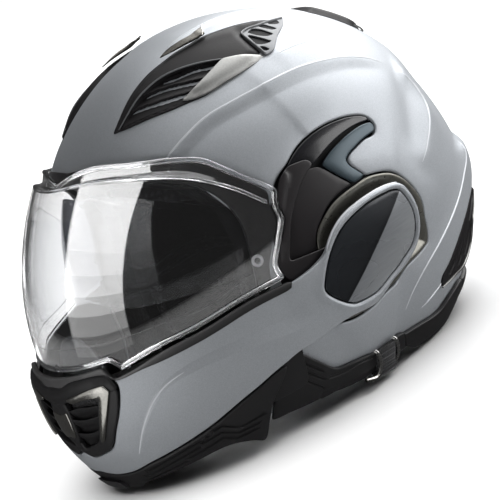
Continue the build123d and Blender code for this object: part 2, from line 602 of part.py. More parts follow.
with BuildPart() as sun_visor_switch:
    extrude(side([(-52, 15), (-52, 21), (-36, 20.5), (-36, 14.5)]), amount=140)
    add(form(R_SHELL, W_SHELL, 6.4), mode=Mode.INTERSECT)
    add(form(R_SHELL, W_SHELL, 4.2), mode=Mode.SUBTRACT)
save(sun_visor_switch, "sun_visor_switch")

# ---------------------------------------------------------------- chin strap
STRAP_W = 20.0
STRAP_Y = 8.0 + YS
RUN_OUT = [(81.2, 63), (79.0, 50), (76.4, 40), (72.2, 27), (60, 17), (38, 10)]
RUN_IN = [(37.7, 11.8), (59.2, 18.7), (70.6, 28.2), (74.7, 40.6), (77.2, 50.3), (79.4, 63)]
with BuildPart() as strap_left:
    with BuildSketch(Plane.XZ.offset(-STRAP_Y - STRAP_W / 2)):
        with BuildLine():
            Polyline(*RUN_OUT, (17, 6.8), (17, 8.6), *RUN_IN, close=True)
        make_face()
    extrude(amount=STRAP_W)
save(strap_left, "strap_left")
with BuildPart() as strap_right:
    with BuildSketch(Plane.XZ.offset(-STRAP_Y - STRAP_W / 2)):
        with BuildLine():
            Polyline(*[(-x, z) for x, z in RUN_OUT], (-9, 6.8), (-9, 8.6), *[(-x, z) for x, z in RUN_IN], close=True)
        make_face()
    extrude(amount=STRAP_W)
save(strap_right, "strap_right")

with BuildPart() as strap_rivets:
    for sx in (1, -1):
        with BuildSketch(Plane.YZ.offset(sx * 81.4)):
            with Locations((STRAP_Y, 58)):
                Circle(4.0)
        extrude(amount=sx * 27.1)
save(strap_rivets, "strap_rivets")

with BuildPart() as buckle_body:
    with BuildSketch(Plane.XY.offset(3.2)):
        with Locations((5.5, STRAP_Y)):
            RectangleRounded(34, 27, 3)
    extrude(amount=3.2)
    with BuildSketch(Plane.XY.offset(3.2)):
        with Locations((5.5, STRAP_Y - 12.2), (5.5, STRAP_Y + 12.2)):
            Rectangle(28, 2.2)
    extrude(amount=9.6)
    with BuildSketch(Plane.XZ):
        with Locations((13.0, 10.4)):
            Circle(0.82)
    extrude(amount=100, both=True, mode=Mode.SUBTRACT)
save(buckle_body, "buckle_body")

with BuildPart() as buckle_tongue:
    with BuildSketch(Plane.XY.offset(6.9)):
        with Locations((3.2, STRAP_Y)):
            Rectangle(23.0, 12)
    extrude(amount=1.4)
save(buckle_tongue, "buckle_tongue")

with BuildPart() as buckle_lever:
    with BuildSketch(Plane.XY.offset(8.9)):
        with Locations((4.6, STRAP_Y)):
            RectangleRounded(19.2, 19, 0.6)
    extrude(amount=3.0)
    with BuildSketch(Plane.XZ):
        with Locations((13.0, 10.4)):
            Circle(0.86)
    extrude(amount=100, both=True, mode=Mode.SUBTRACT)
save(buckle_lever, "buckle_lever")

with BuildPart() as buckle_pin:
    with BuildSketch(Plane.XZ.offset(-STRAP_Y - 13.2)):
        with Locations((13.0, 10.4)):
            Circle(0.8)
    extrude(amount=26.4)
save(buckle_pin, "buckle_pin")
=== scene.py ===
import json
import math
import bpy
import numpy as np
from mathutils import Matrix, Vector, kdtree
from mathutils.geometry import delaunay_2d_cdt

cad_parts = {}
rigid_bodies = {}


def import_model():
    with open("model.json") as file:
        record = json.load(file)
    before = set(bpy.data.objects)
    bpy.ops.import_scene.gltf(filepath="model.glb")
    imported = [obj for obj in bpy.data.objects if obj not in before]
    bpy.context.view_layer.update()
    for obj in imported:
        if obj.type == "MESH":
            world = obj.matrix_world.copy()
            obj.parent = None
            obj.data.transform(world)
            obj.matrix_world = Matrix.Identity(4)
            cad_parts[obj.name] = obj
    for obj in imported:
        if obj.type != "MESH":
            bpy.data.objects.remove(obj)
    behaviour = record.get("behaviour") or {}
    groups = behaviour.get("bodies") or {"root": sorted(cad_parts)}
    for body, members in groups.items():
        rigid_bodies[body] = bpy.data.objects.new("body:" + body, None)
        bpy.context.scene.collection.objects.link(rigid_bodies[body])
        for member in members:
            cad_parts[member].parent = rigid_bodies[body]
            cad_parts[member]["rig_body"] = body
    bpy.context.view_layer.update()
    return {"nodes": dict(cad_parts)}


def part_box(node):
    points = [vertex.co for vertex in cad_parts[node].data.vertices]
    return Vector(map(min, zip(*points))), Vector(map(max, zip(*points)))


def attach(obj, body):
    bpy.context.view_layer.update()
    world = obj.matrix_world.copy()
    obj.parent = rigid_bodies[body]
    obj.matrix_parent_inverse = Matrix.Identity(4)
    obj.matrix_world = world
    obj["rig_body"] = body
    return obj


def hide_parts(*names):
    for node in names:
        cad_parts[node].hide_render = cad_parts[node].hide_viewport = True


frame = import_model()

# ======================================================================= surface of the helmet
# Radii about the hinge axis by angle (0 deg forward, 90 deg up), half widths in mm, as in the CAD.
YS, PYD, PZ, K = 3.5, 20.5, 107.0, 2.4
RIM = 90.0 * K
ANG = [-90, -65, -48, -32, -15, 5, 25, 45, 65, 90, 115, 140, 165, 185, 205, 235]
R_SHELL = [139, 172, 180, 182, 178, 168, 161, 157, 154, 151.5, 149.5, 150, 150, 152.5, 146, 140]
R_CHIN = [139, 180, 196, 208, 206.5, 187, 176, 168, 162, 160, 160, 160, 160, 160, 155, 145]
R_VISOR = [150, 170, 184, 192, 192, 185, 174, 166, 166, 166, 166, 166, 166, 166, 166, 160]
R_HEAD = [150, 140, 134, 128, 124, 120, 119, 118, 118, 117, 116, 117, 118, 120, 122, 135]
R_SUN = [148] * 16


def _catmull(table, deg):
    a = [x - 360 for x in ANG[-3:]] + ANG + [x + 360 for x in ANG[:3]]
    r = list(table[-3:]) + list(table) + list(table[:3])
    for i in range(1, len(a) - 2):
        if a[i] <= deg <= a[i + 1]:
            h = a[i + 1] - a[i]
            t = (deg - a[i]) / h
            m0 = (r[i + 1] - r[i - 1]) / (a[i + 1] - a[i - 1]) * h
            m1 = (r[i + 2] - r[i]) / (a[i + 2] - a[i]) * h
            return (2 * t**3 - 3 * t**2 + 1) * r[i] + (t**3 - 2 * t**2 + t) * m0 + (-2 * t**3 + 3 * t**2) * r[i + 1] + (t**3 - t**2) * m1
    return r[-1]


class Form:
    """Rounded outer form. A chart point (u, v) is the angle about the hinge axis, and the distance from its side pole."""

    def __init__(self, table, width, off=0.0, sigma=4.0):
        fine = np.array([_catmull(table, -90 + k) for k in range(360)])
        k = np.arange(-20, 21)
        w = np.exp(-0.5 * (k / sigma) ** 2)
        w /= w.sum()
        fine = sum(wi * np.roll(fine, int(ki)) for wi, ki in zip(w, k))
        self.t = fine[::3]
        self.w = width
        self.off = off

    def R(self, deg):
        s = np.mod(np.asarray(deg, float) + 90.0, 360.0) / 3.0
        i = np.floor(s).astype(int)
        f = s - i
        p0, p1, p2, p3 = (self.t[(i + d) % 120] for d in (-1, 0, 1, 2))
        return 0.5 * (2 * p1 + (p2 - p0) * f + (2 * p0 - 5 * p1 + 4 * p2 - p3) * f**2 + (3 * p1 - p0 - 3 * p2 + p3) * f**3)

    def P(self, uv, h=0.0):
        uv = np.asarray(uv, float)
        r = np.hypot(uv[:, 0], uv[:, 1])
        th = np.arctan2(uv[:, 1], uv[:, 0])
        phi = np.radians(90.0 - r / K)
        s = np.sin(phi)
        x = (self.w + self.off + h) * np.sign(s) * np.abs(s) ** (1 / 1.1)
        rho = (self.R(np.degrees(th)) + self.off + h) * np.maximum(np.cos(phi), 0) ** (1 / 1.06)
        return np.stack([x, PYD - rho * np.cos(th) + YS, PZ + rho * np.sin(th)], 1)

    def N(self, uv):
        d = 0.6
        uv = np.asarray(uv, float)
        a = self.P(uv + [d, 0]) - self.P(uv - [d, 0])
        b = self.P(uv + [0, d]) - self.P(uv - [0, d])
        n = np.cross(b, a)
        n /= np.maximum(np.linalg.norm(n, axis=1, keepdims=True), 1e-9)
        c = self.P(uv) - np.array([0, PYD + YS, PZ])
        n[(n * c).sum(1) < 0] *= -1
        return n

    def side(self, pts):
        p = np.asarray(pts, float)
        th = np.arctan2(p[:, 1] - PZ, PYD - p[:, 0])
        f = np.hypot(p[:, 1] - PZ, PYD - p[:, 0]) / (self.R(np.degrees(th)) + self.off)
        phi = np.degrees(np.arccos(np.clip(f, 0, 1) ** 1.06))
        r = (90 - phi) * K + np.maximum(f - 1, 0) * 150
        return np.stack([r * np.cos(th), r * np.sin(th)], 1)

    def at(self, pts):
        p = np.asarray(pts, float)
        th = np.arctan2(p[:, 2] - PZ, PYD - p[:, 1])
        rho = np.hypot(p[:, 2] - PZ, PYD - p[:, 1])
        a = np.abs(p[:, 0] / (self.w + self.off)) ** 1.1 * np.sign(p[:, 0])
        b = (rho / (self.R(np.degrees(th)) + self.off)) ** 1.06
        r = (90 - np.degrees(np.arctan2(a, b))) * K
        return np.stack([r * np.cos(th), r * np.sin(th)], 1)

    def _scan(self, x, target, axis, lo, hi):
        th = np.radians(np.linspace(lo, hi, 1500))
        phi = np.arcsin(np.clip(abs(x) / (self.w + self.off), 0, 1) ** 1.1)
        rho = (self.R(np.degrees(th)) + self.off) * np.cos(phi) ** (1 / 1.06)
        val = PYD - rho * np.cos(th) if axis == 1 else PZ + rho * np.sin(th)
        k = int(np.argmin(np.abs(val - target)))
        r = (90 - math.degrees(phi) * (1 if x >= 0 else -1)) * K
        return r * math.cos(th[k]), r * math.sin(th[k])

    def plan(self, pts):
        return np.array([self._scan(x, y, 1, 12, 168) for x, y in pts])

    def front(self, pts):
        return np.array([self._scan(x, z, 2, -75, 80) for x, z in pts])

    def back(self, pts):
        return np.array([self._scan(x, z, 2, 115, 245) for x, z in pts])


SH = Form(R_SHELL, 120.5)
CH = Form(R_CHIN, 128.0)
VI = Form(R_VISOR, 123.0)
HD = Form(R_HEAD, 86.0)
SU = Form(R_SUN, 107.8)


# ======================================================================= plane geometry helpers
def dense(pts, step=2.0, closed=True, sharp=38.0, soften=2):
    """Smooth curve through points that keeps sharp corners, then softened a little."""
    p = np.asarray(pts, float)
    n = len(p)

    def corner(i):
        if not closed and i in (0, n - 1):
            return True
        a = p[i] - p[(i - 1) % n]
        b = p[(i + 1) % n] - p[i]
        c = np.dot(a, b) / (np.linalg.norm(a) * np.linalg.norm(b) + 1e-9)
        return math.degrees(math.acos(max(-1, min(1, c)))) > sharp

    cs = [corner(i) for i in range(n)]
    out = []
    for i in range(n if closed else n - 1):
        j = (i + 1) % n
        d = np.linalg.norm(p[j] - p[i])
        if d < 1e-6:
            continue

        def tangent(k):
            if cs[k]:
                return (p[j] - p[i])
            a, b = p[(k - 1) % n], p[(k + 1) % n]
            la, lb = np.linalg.norm(p[k] - a), np.linalg.norm(b - p[k])
            t = ((p[k] - a) / la * lb + (b - p[k]) / lb * la) / (la + lb)
            return t / (np.linalg.norm(t) + 1e-9) * d

        m0, m1 = tangent(i), tangent(j)
        k = max(1, int(math.ceil(d / step)))
        for q in range(k):
            t = q / k
            out.append((2 * t**3 - 3 * t**2 + 1) * p[i] + (t**3 - 2 * t**2 + t) * m0 + (-2 * t**3 + 3 * t**2) * p[j] + (t**3 - t**2) * m1)
    if not closed:
        out.append(p[-1])
    o = np.array(out)
    for _ in range(soften):
        if closed:
            o = 0.5 * o + 0.25 * (np.roll(o, 1, 0) + np.roll(o, -1, 0))
        else:
            o[1:-1] = 0.5 * o[1:-1] + 0.25 * (o[2:] + o[:-2])
    return o


def inside(poly, q):
    res = np.zeros(len(q), bool)
    a, b = poly, np.roll(poly, -1, 0)
    for s in range(0, len(q), 4000):
        x, y = q[s:s + 4000, 0:1], q[s:s + 4000, 1:2]
        c = ((a[:, 1] > y) != (b[:, 1] > y)) & (x < (b[:, 0] - a[:, 0]) * (y - a[:, 1]) / (b[:, 1] - a[:, 1] + 1e-12) + a[:, 0])
        res[s:s + 4000] = c.sum(1) % 2 == 1
    return res


def near(q, line, closed=False):
    """Distance to a line of points, the side (+ left of its direction), and the share of its length."""
    a = line if closed else line[:-1]
    b = np.roll(line, -1, 0) if closed else line[1:]
    ab = b - a
    l2 = np.maximum((ab**2).sum(1), 1e-12)
    cum = np.concatenate([[0], np.cumsum(np.sqrt(l2))])
    D = np.empty(len(q)); S = np.empty(len(q)); T = np.empty(len(q))
    for s in range(0, len(q), 3000):
        c = q[s:s + 3000]
        rel = c[:, None, :] - a[None]
        t = np.clip((rel * ab).sum(2) / l2, 0, 1)
        dd = np.linalg.norm(rel - t[..., None] * ab, axis=2)
        k = dd.argmin(1)
        r = np.arange(len(c))
        D[s:s + 3000] = dd[r, k]
        cr = ab[k, 0] * rel[r, k, 1] - ab[k, 1] * rel[r, k, 0]
        S[s:s + 3000] = np.where(cr >= 0, 1.0, -1.0)
        T[s:s + 3000] = (cum[k] + t[r, k] * np.sqrt(l2[k])) / cum[-1]
    return D, S, T


def offset_line(line, d, closed=False):
    if closed:
        t = np.roll(line, -1, 0) - np.roll(line, 1, 0)
    else:
        t = np.gradient(line, axis=0)
    t /= np.maximum(np.linalg.norm(t, axis=1, keepdims=True), 1e-9)
    return line + np.stack([-t[:, 1], t[:, 0]], 1) * d


def dense3(pts, step=2.0):
    """Smooth 3-D curve through points."""
    p = np.asarray(pts, float)
    q = np.concatenate([[2 * p[0] - p[1]], p, [2 * p[-1] - p[-2]]])
    out = []
    for i in range(1, len(q) - 2):
        n = max(1, int(np.linalg.norm(q[i + 1] - q[i]) / step))
        for k in range(n):
            t = k / n
            out.append(0.5 * (2 * q[i] + (q[i + 1] - q[i - 1]) * t + (2 * q[i - 1] - 5 * q[i] + 4 * q[i + 1] - q[i + 2]) * t * t + (3 * q[i] - q[i - 1] - 3 * q[i + 1] + q[i + 2]) * t**3))
    out.append(p[-1])
    return np.array(out)


def shrink(loop, d):
    """Closed loop moved inwards by d."""
    t = offset_line(loop, d, True)
    return t if inside(loop, t).mean() > 0.5 else offset_line(loop, -d, True)


def sm(x, lo=0.0, hi=1.0):
    t = np.clip((x - lo) / (hi - lo + 1e-12), 0, 1)
    return t * t * (3 - 2 * t)


# ======================================================================= mesh building
class Build:
    """Vertices in mm and faces, joined piece by piece."""

    def __init__(self):
        self.v, self.f, self.n = [], [], 0

    def add(self, v, f):
        v = np.asarray(v, float)
        self.v.append(v)
        self.f += [tuple(int(i) + self.n for i in q) for q in f]
        self.n += len(v)
        return self

    def data(self):
        return np.concatenate(self.v), self.f


def patch(form, outline, holes=(), lines=(), step=3.0, rim=1.0, T=3.0, base=0.0, top=None, bottom=None, extra=(), rows=(0.08, 0.3, 0.62, 1.0), under=0.35):
    """Closed shell piece over the form: a chart outline with holes, rounded rims and a height function."""
    pts, edges = [], []
    loops = [outline] + list(holes)

    def put(arr, closed=None):
        i0 = len(pts)
        pts.extend([tuple(x) for x in arr])
        if closed is not None:
            n = len(arr)
            edges.extend([(i0 + i, i0 + (i + 1) % n) for i in range(n if closed else n - 1)])

    for lp in loops:
        put(lp, True)
    for ln in lines:
        put(ln, False)
    if (np.hypot(outline[:, 0], outline[:, 1]) > RIM).any():
        a = np.radians(np.arange(0, 360, 0.75))
        arc = np.stack([RIM * np.cos(a), RIM * np.sin(a)], 1)
        put(arc, True)
    free = []
    for lp in loops:
        for k in rows:
            for sgn in (1, -1):
                free.append(offset_line(lp, sgn * k * rim, True))
    free = np.concatenate(free) if free else np.zeros((0, 2))
    okf = inside(outline, free)
    for h in holes:
        okf &= ~inside(h, free)
    free = free[okf]
    if len(free):
        dmin = np.min([near(free, lp, True)[0] for lp in loops], axis=0)
        rr = np.array([r * rim for r in rows])
        free = free[(np.abs(dmin[:, None] - rr[None]).min(1) < 0.02 * rim + 0.01)]
    ex = [np.asarray(e) for e in extra]
    if ex:
        ex = np.concatenate(ex)
        ok = inside(outline, ex)
        for h in holes:
            ok &= ~inside(h, ex)
        ex = ex[ok]
        dm = np.min([near(ex, lp, True)[0] for lp in loops], axis=0)
        ex = ex[dm > rim * 0.7]
        free = np.concatenate([free, ex])
    put(free)
    lo, hi = outline.min(0), outline.max(0)
    dy = step * 0.866
    gx = np.arange(lo[0], hi[0] + step, step)
    gy = np.arange(lo[1], hi[1] + dy, dy)
    X, Y = np.meshgrid(gx, gy)
    X = X + (np.arange(len(gy)) % 2)[:, None] * step * 0.5
    g = np.stack([X.ravel(), Y.ravel()], 1)
    g = g[(np.hypot(g[:, 0], g[:, 1]) < RIM - 0.3 * step) & inside(outline, g)]
    for h in holes:
        g = g[~inside(h, g)]
    kd = kdtree.KDTree(len(pts))
    for i, p in enumerate(pts):
        kd.insert((p[0], p[1], 0), i)
    kd.balance()
    keep = [i for i, p in enumerate(g) if kd.find((p[0], p[1], 0))[2] > 0.5 * step]
    put(g[keep])
    res = delaunay_2d_cdt([Vector(p) for p in pts], edges, [], 0, 1e-4)
    V = np.array([(p.x, p.y) for p in res[0]])
    F = np.array([f for f in res[2] if len(f) == 3])
    c = V[F].mean(1)
    ok = (np.hypot(c[:, 0], c[:, 1]) < RIM) & inside(outline, c)
    for h in holes:
        ok &= ~inside(h, c)
    a2 = (V[F[:, 1]] - V[F[:, 0]]), (V[F[:, 2]] - V[F[:, 0]])
    area = np.abs(a2[0][:, 0] * a2[1][:, 1] - a2[0][:, 1] * a2[1][:, 0])
    F = F[ok & (area > 1e-7)]
    used, inv = np.unique(F, return_inverse=True)
    V = V[used]
    F = inv.reshape(-1, 3)
    r = np.hypot(V[:, 0], V[:, 1])
    mid = r > RIM - 0.05
    V[mid] *= (RIM / r[mid])[:, None]
    d = np.min([near(V, lp, True)[0] for lp in loops], axis=0)
    # vertices on the mid-plane are far from a rim unless the outline itself is there
    prof = np.where(d < rim, rim - np.sqrt(np.maximum(rim**2 - (rim - d) ** 2, 0)), 0.0)
    P0, N0 = form.P(V), form.N(V)
    N0[mid, 0] = 0
    N0 /= np.linalg.norm(N0, axis=1, keepdims=True)
    ht = np.full(len(V), float(base))
    if top is not None:
        ht = ht + top(V, d)
    hb = np.full(len(V), base - T)
    if bottom is not None:
        hb = hb + bottom(V, d)
    ur = min(rim, under)
    pb = np.where(d < ur, ur - np.sqrt(np.maximum(ur**2 - (ur - d) ** 2, 0)), 0.0)
    Pt = P0 + N0 * (ht - prof)[:, None]
    Pb = P0 + N0 * (hb + pb)[:, None]
    Pt[mid, 0] = 0
    Pb[mid, 0] = 0
    fn = np.cross(P0[F[:, 1]] - P0[F[:, 0]], P0[F[:, 2]] - P0[F[:, 0]])
    flip = (fn * N0[F[:, 0]]).sum(1) < 0
    F[flip] = F[flip][:, ::-1]
    n = len(V)
    e = np.concatenate([F[:, [0, 1]], F[:, [1, 2]], F[:, [2, 0]]])
    key = np.sort(e, 1)
    _, first, cnt = np.unique(key, axis=0, return_index=True, return_counts=True)
    be = e[first[cnt == 1]]
    be = be[~(mid[be[:, 0]] & mid[be[:, 1]])]
    faces = [tuple(f) for f in F] + [tuple(f[::-1] + n) for f in F] + [(b, a, a + n, b + n) for a, b in be]
    mids = np.concatenate([mid, mid])
    return np.concatenate([Pt, Pb]), faces, mids


def mirrored(v, f):
    return np.asarray(v) * [-1, 1, 1], [tuple(q[::-1]) for q in f]


def both(v, f, mids=None):
    """The left half and its mirror image, welded along the mid-plane where there is one."""
    v = np.asarray(v, float)
    n = len(v)
    mids = np.zeros(n, bool) if mids is None else mids
    idx = np.where(mids, np.arange(n), n + np.cumsum(~mids) - 1)
    v2 = (v * [-1, 1, 1])[~mids]
    f2 = [tuple(int(idx[i]) for i in q[::-1]) for q in f]
    return np.concatenate([v, v2]), list(f) + f2


def tube(path, rad, seg=12, closed=False, caps=True):
    """Round tube along a path of 3-D points in mm; rad is a number or one per point."""
    p = np.asarray(path, float)
    n = len(p)
    rad = np.full(n, float(rad)) if np.isscalar(rad) else np.asarray(rad, float)
    t = (np.roll(p, -1, 0) - np.roll(p, 1, 0)) if closed else np.gradient(p, axis=0)
    t /= np.maximum(np.linalg.norm(t, axis=1, keepdims=True), 1e-9)
    ref = np.array([0, 0, 1.0]) if abs(t[0][2]) < 0.9 else np.array([1.0, 0, 0])
    u = np.cross(t[0], ref); u /= np.linalg.norm(u)
    vs = []
    for i in range(n):
        u = u - t[i] * np.dot(u, t[i]); u /= np.linalg.norm(u)
        w = np.cross(t[i], u)
        for k in range(seg):
            a = 2 * math.pi * k / seg
            vs.append(p[i] + rad[i] * (math.cos(a) * u + math.sin(a) * w))
    f = []
    for i in range(n if closed else n - 1):
        j = (i + 1) % n
        for k in range(seg):
            l = (k + 1) % seg
            f.append((i * seg + k, i * seg + l, j * seg + l, j * seg + k))
    if caps and not closed:
        f.append(tuple(range(seg - 1, -1, -1)))
        f.append(tuple((n - 1) * seg + k for k in range(seg)))
    return np.array(vs), f


def strip(points, normals, width_dir, half_w, half_t, edge=0.5):
    """Flat band with rounded edges along points; normals and width directions per point."""
    p = np.asarray(points, float)
    n = len(p)
    prof = []
    for a in np.linspace(-90, 90, 5):
        prof.append((half_w - edge + edge * math.cos(math.radians(a)), half_t * math.sin(math.radians(a))))
    for a in np.linspace(90, 270, 5):
        prof.append((-(half_w - edge) + edge * math.cos(math.radians(a)), half_t * math.sin(math.radians(a))))
    m = len(prof)
    vs, f = [], []
    for i in range(n):
        for a, b in prof:
            vs.append(p[i] + np.asarray(width_dir[i]) * a + np.asarray(normals[i]) * b)
    for i in range(n - 1):
        for k in range(m):
            l = (k + 1) % m
            f.append((i * m + k, i * m + l, (i + 1) * m + l, (i + 1) * m + k))
    f.append(tuple(range(m - 1, -1, -1)))
    f.append(tuple((n - 1) * m + k for k in range(m)))
    return np.array(vs), f


def piece(name, v, f, mat, body, replaces=(), slot=None, smooth=32, fix=True):
    me = bpy.data.meshes.new(name)
    me.from_pydata((np.asarray(v, float) / 1000.0).tolist(), [], [tuple(int(i) for i in q) for q in f])
    me.validate()
    if fix:
        import bmesh
        bm = bmesh.new()
        bm.from_mesh(me)
        bmesh.ops.recalc_face_normals(bm, faces=bm.faces)
        bm.to_mesh(me)
        bm.free()
    me.polygons.foreach_set("use_smooth", [True] * len(me.polygons))
    me.set_sharp_from_angle(angle=math.radians(smooth))
    ob = bpy.data.objects.new(name, me)
    bpy.context.scene.collection.objects.link(ob)
    me.materials.append(mat)
    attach(ob, body)
    if replaces:
        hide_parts(*([replaces] if isinstance(replaces, str) else replaces))
    return ob


# ======================================================================= materials
def new_mat(name):
    m = bpy.data.materials.new(name)
    m.use_nodes = True
    nt = m.node_tree
    nt.nodes.clear()
    out = nt.nodes.new("ShaderNodeOutputMaterial")
    bs = nt.nodes.new("ShaderNodeBsdfPrincipled")
    nt.links.new(bs.outputs[0], out.inputs[0])
    return m, nt, bs


def node(nt, kind, **kw):
    n = nt.nodes.new(kind)
    for k, v in kw.items():
        if k in n.inputs:
            n.inputs[k].default_value = v
        else:
            setattr(n, k, v)
    return n


def coords(nt, scale=(1, 1, 1), rot=(0, 0, 0)):
    tc = node(nt, "ShaderNodeTexCoord")
    mp = node(nt, "ShaderNodeMapping")
    mp.inputs["Scale"].default_value = scale
    mp.inputs["Rotation"].default_value = rot
    nt.links.new(tc.outputs["Object"], mp.inputs["Vector"])
    return mp.outputs["Vector"]


def ramp(nt, fac, stops):
    r = node(nt, "ShaderNodeValToRGB")
    els = r.color_ramp.elements
    while len(els) < len(stops):
        els.new(0.5)
    for e, (p, c) in zip(els, stops):
        e.position = p
        e.color = (*c, 1) if len(c) == 3 else c
    nt.links.new(fac, r.inputs[0])
    return r.outputs[0]


def rng(nt, fac, lo, hi, a=0.0, b=1.0):
    r = node(nt, "ShaderNodeMapRange")
    r.inputs["From Min"].default_value = a
    r.inputs["From Max"].default_value = b
    r.inputs["To Min"].default_value = lo
    r.inputs["To Max"].default_value = hi
    nt.links.new(fac, r.inputs["Value"])
    return r.outputs[0]


def bump(nt, height, strength, dist, bs, prev=None):
    b = node(nt, "ShaderNodeBump")
    b.inputs["Strength"].default_value = strength
    b.inputs["Distance"].default_value = dist
    nt.links.new(height, b.inputs["Height"])
    if prev is not None:
        nt.links.new(prev, b.inputs["Normal"])
    if bs is not None:
        nt.links.new(b.outputs[0], bs.inputs["Normal"])
    return b.outputs[0]


def plain(name, color, rough=0.4, metal=0.0, grain=900.0, amount=0.06, vary=0.12, rvary=0.06, coat=0.0, coat_rough=0.1, spec=0.5, wear=0.0):
    """Moulded or painted finish: fine grain, slight colour and gloss variation."""
    m, nt, bs = new_mat(name)
    bs.inputs["Metallic"].default_value = metal
    bs.inputs["Coat Weight"].default_value = coat
    bs.inputs["Coat Roughness"].default_value = coat_rough
    bs.inputs["Specular IOR Level"].default_value = spec
    v = coords(nt)
    big = node(nt, "ShaderNodeTexNoise", Scale=14.0, Detail=4.0, Roughness=0.6)
    fine = node(nt, "ShaderNodeTexNoise", Scale=grain, Detail=3.0, Roughness=0.6)
    nt.links.new(v, big.inputs["Vector"])
    nt.links.new(v, fine.inputs["Vector"])
    mix = node(nt, "ShaderNodeMath", operation="ADD")
    nt.links.new(big.outputs[0], mix.inputs[0])
    nt.links.new(fine.outputs[0], mix.inputs[1])
    half = rng(nt, mix.outputs[0], 0, 1, 0.6, 1.4)
    lo = tuple(c * (1 - vary) for c in color)
    hi = tuple(min(1, c * (1 + vary)) for c in color)
    nt.links.new(ramp(nt, half, [(0.0, lo), (1.0, hi)]), bs.inputs["Base Color"])
    nt.links.new(rng(nt, big.outputs[0], max(0.02, rough - rvary), rough + rvary, 0.3, 0.7), bs.inputs["Roughness"])
    bump(nt, fine.outputs[0], amount, 0.0006, bs)
    return m


def mat_paint():
    """Matt metallic silver-grey: aluminium flake under a satin clear coat."""
    m, nt, bs = new_mat("satin_silver_paint")
    v = coords(nt)
    flake = node(nt, "ShaderNodeTexVoronoi", Scale=3200.0)
    nt.links.new(v, flake.inputs["Vector"])
    big = node(nt, "ShaderNodeTexNoise", Scale=9.0, Detail=3.0)
    nt.links.new(v, big.inputs["Vector"])
    sep = node(nt, "ShaderNodeSeparateColor")
    nt.links.new(flake.outputs["Color"], sep.inputs[0])
    s = node(nt, "ShaderNodeMath", operation="MULTIPLY_ADD")
    nt.links.new(sep.outputs[0], s.inputs[0])
    s.inputs[1].default_value = 0.7
    nt.links.new(big.outputs[0], s.inputs[2])
    nt.links.new(ramp(nt, rng(nt, s.outputs[0], 0, 1, 0.3, 1.3), [(0.0, (0.355, 0.375, 0.40)), (1.0, (0.49, 0.512, 0.54))]), bs.inputs["Base Color"])
    bs.inputs["Metallic"].default_value = 0.62
    nt.links.new(rng(nt, big.outputs[0], 0.50, 0.55, 0.3, 0.7), bs.inputs["Roughness"])
    bs.inputs["Coat Weight"].default_value = 0.12
    bs.inputs["Coat Roughness"].default_value = 0.40
    orange = node(nt, "ShaderNodeTexNoise", Scale=420.0, Detail=2.0)
    nt.links.new(v, orange.inputs["Vector"])
    n1 = bump(nt, orange.outputs[0], 0.035, 0.0008, None)
    bump(nt, sep.outputs[1], 0.025, 0.0002, bs, n1)
    return m


def mat_brushed(name, color, rough=0.3, scale=(40, 900, 900), metal=1.0, strength=0.06, rvary=0.08):
    m, nt, bs = new_mat(name)
    v = coords(nt, scale)
    n = node(nt, "ShaderNodeTexNoise", Scale=1.0, Detail=5.0, Roughness=0.65)
    nt.links.new(v, n.inputs["Vector"])
    lo = tuple(c * 0.86 for c in color)
    hi = tuple(min(1, c * 1.12) for c in color)
    nt.links.new(ramp(nt, n.outputs[0], [(0.25, lo), (0.75, hi)]), bs.inputs["Base Color"])
    bs.inputs["Metallic"].default_value = metal
    nt.links.new(rng(nt, n.outputs[0], rough - rvary, rough + rvary, 0.3, 0.7), bs.inputs["Roughness"])
    bump(nt, n.outputs[0], strength, 0.0003, bs)
    return m


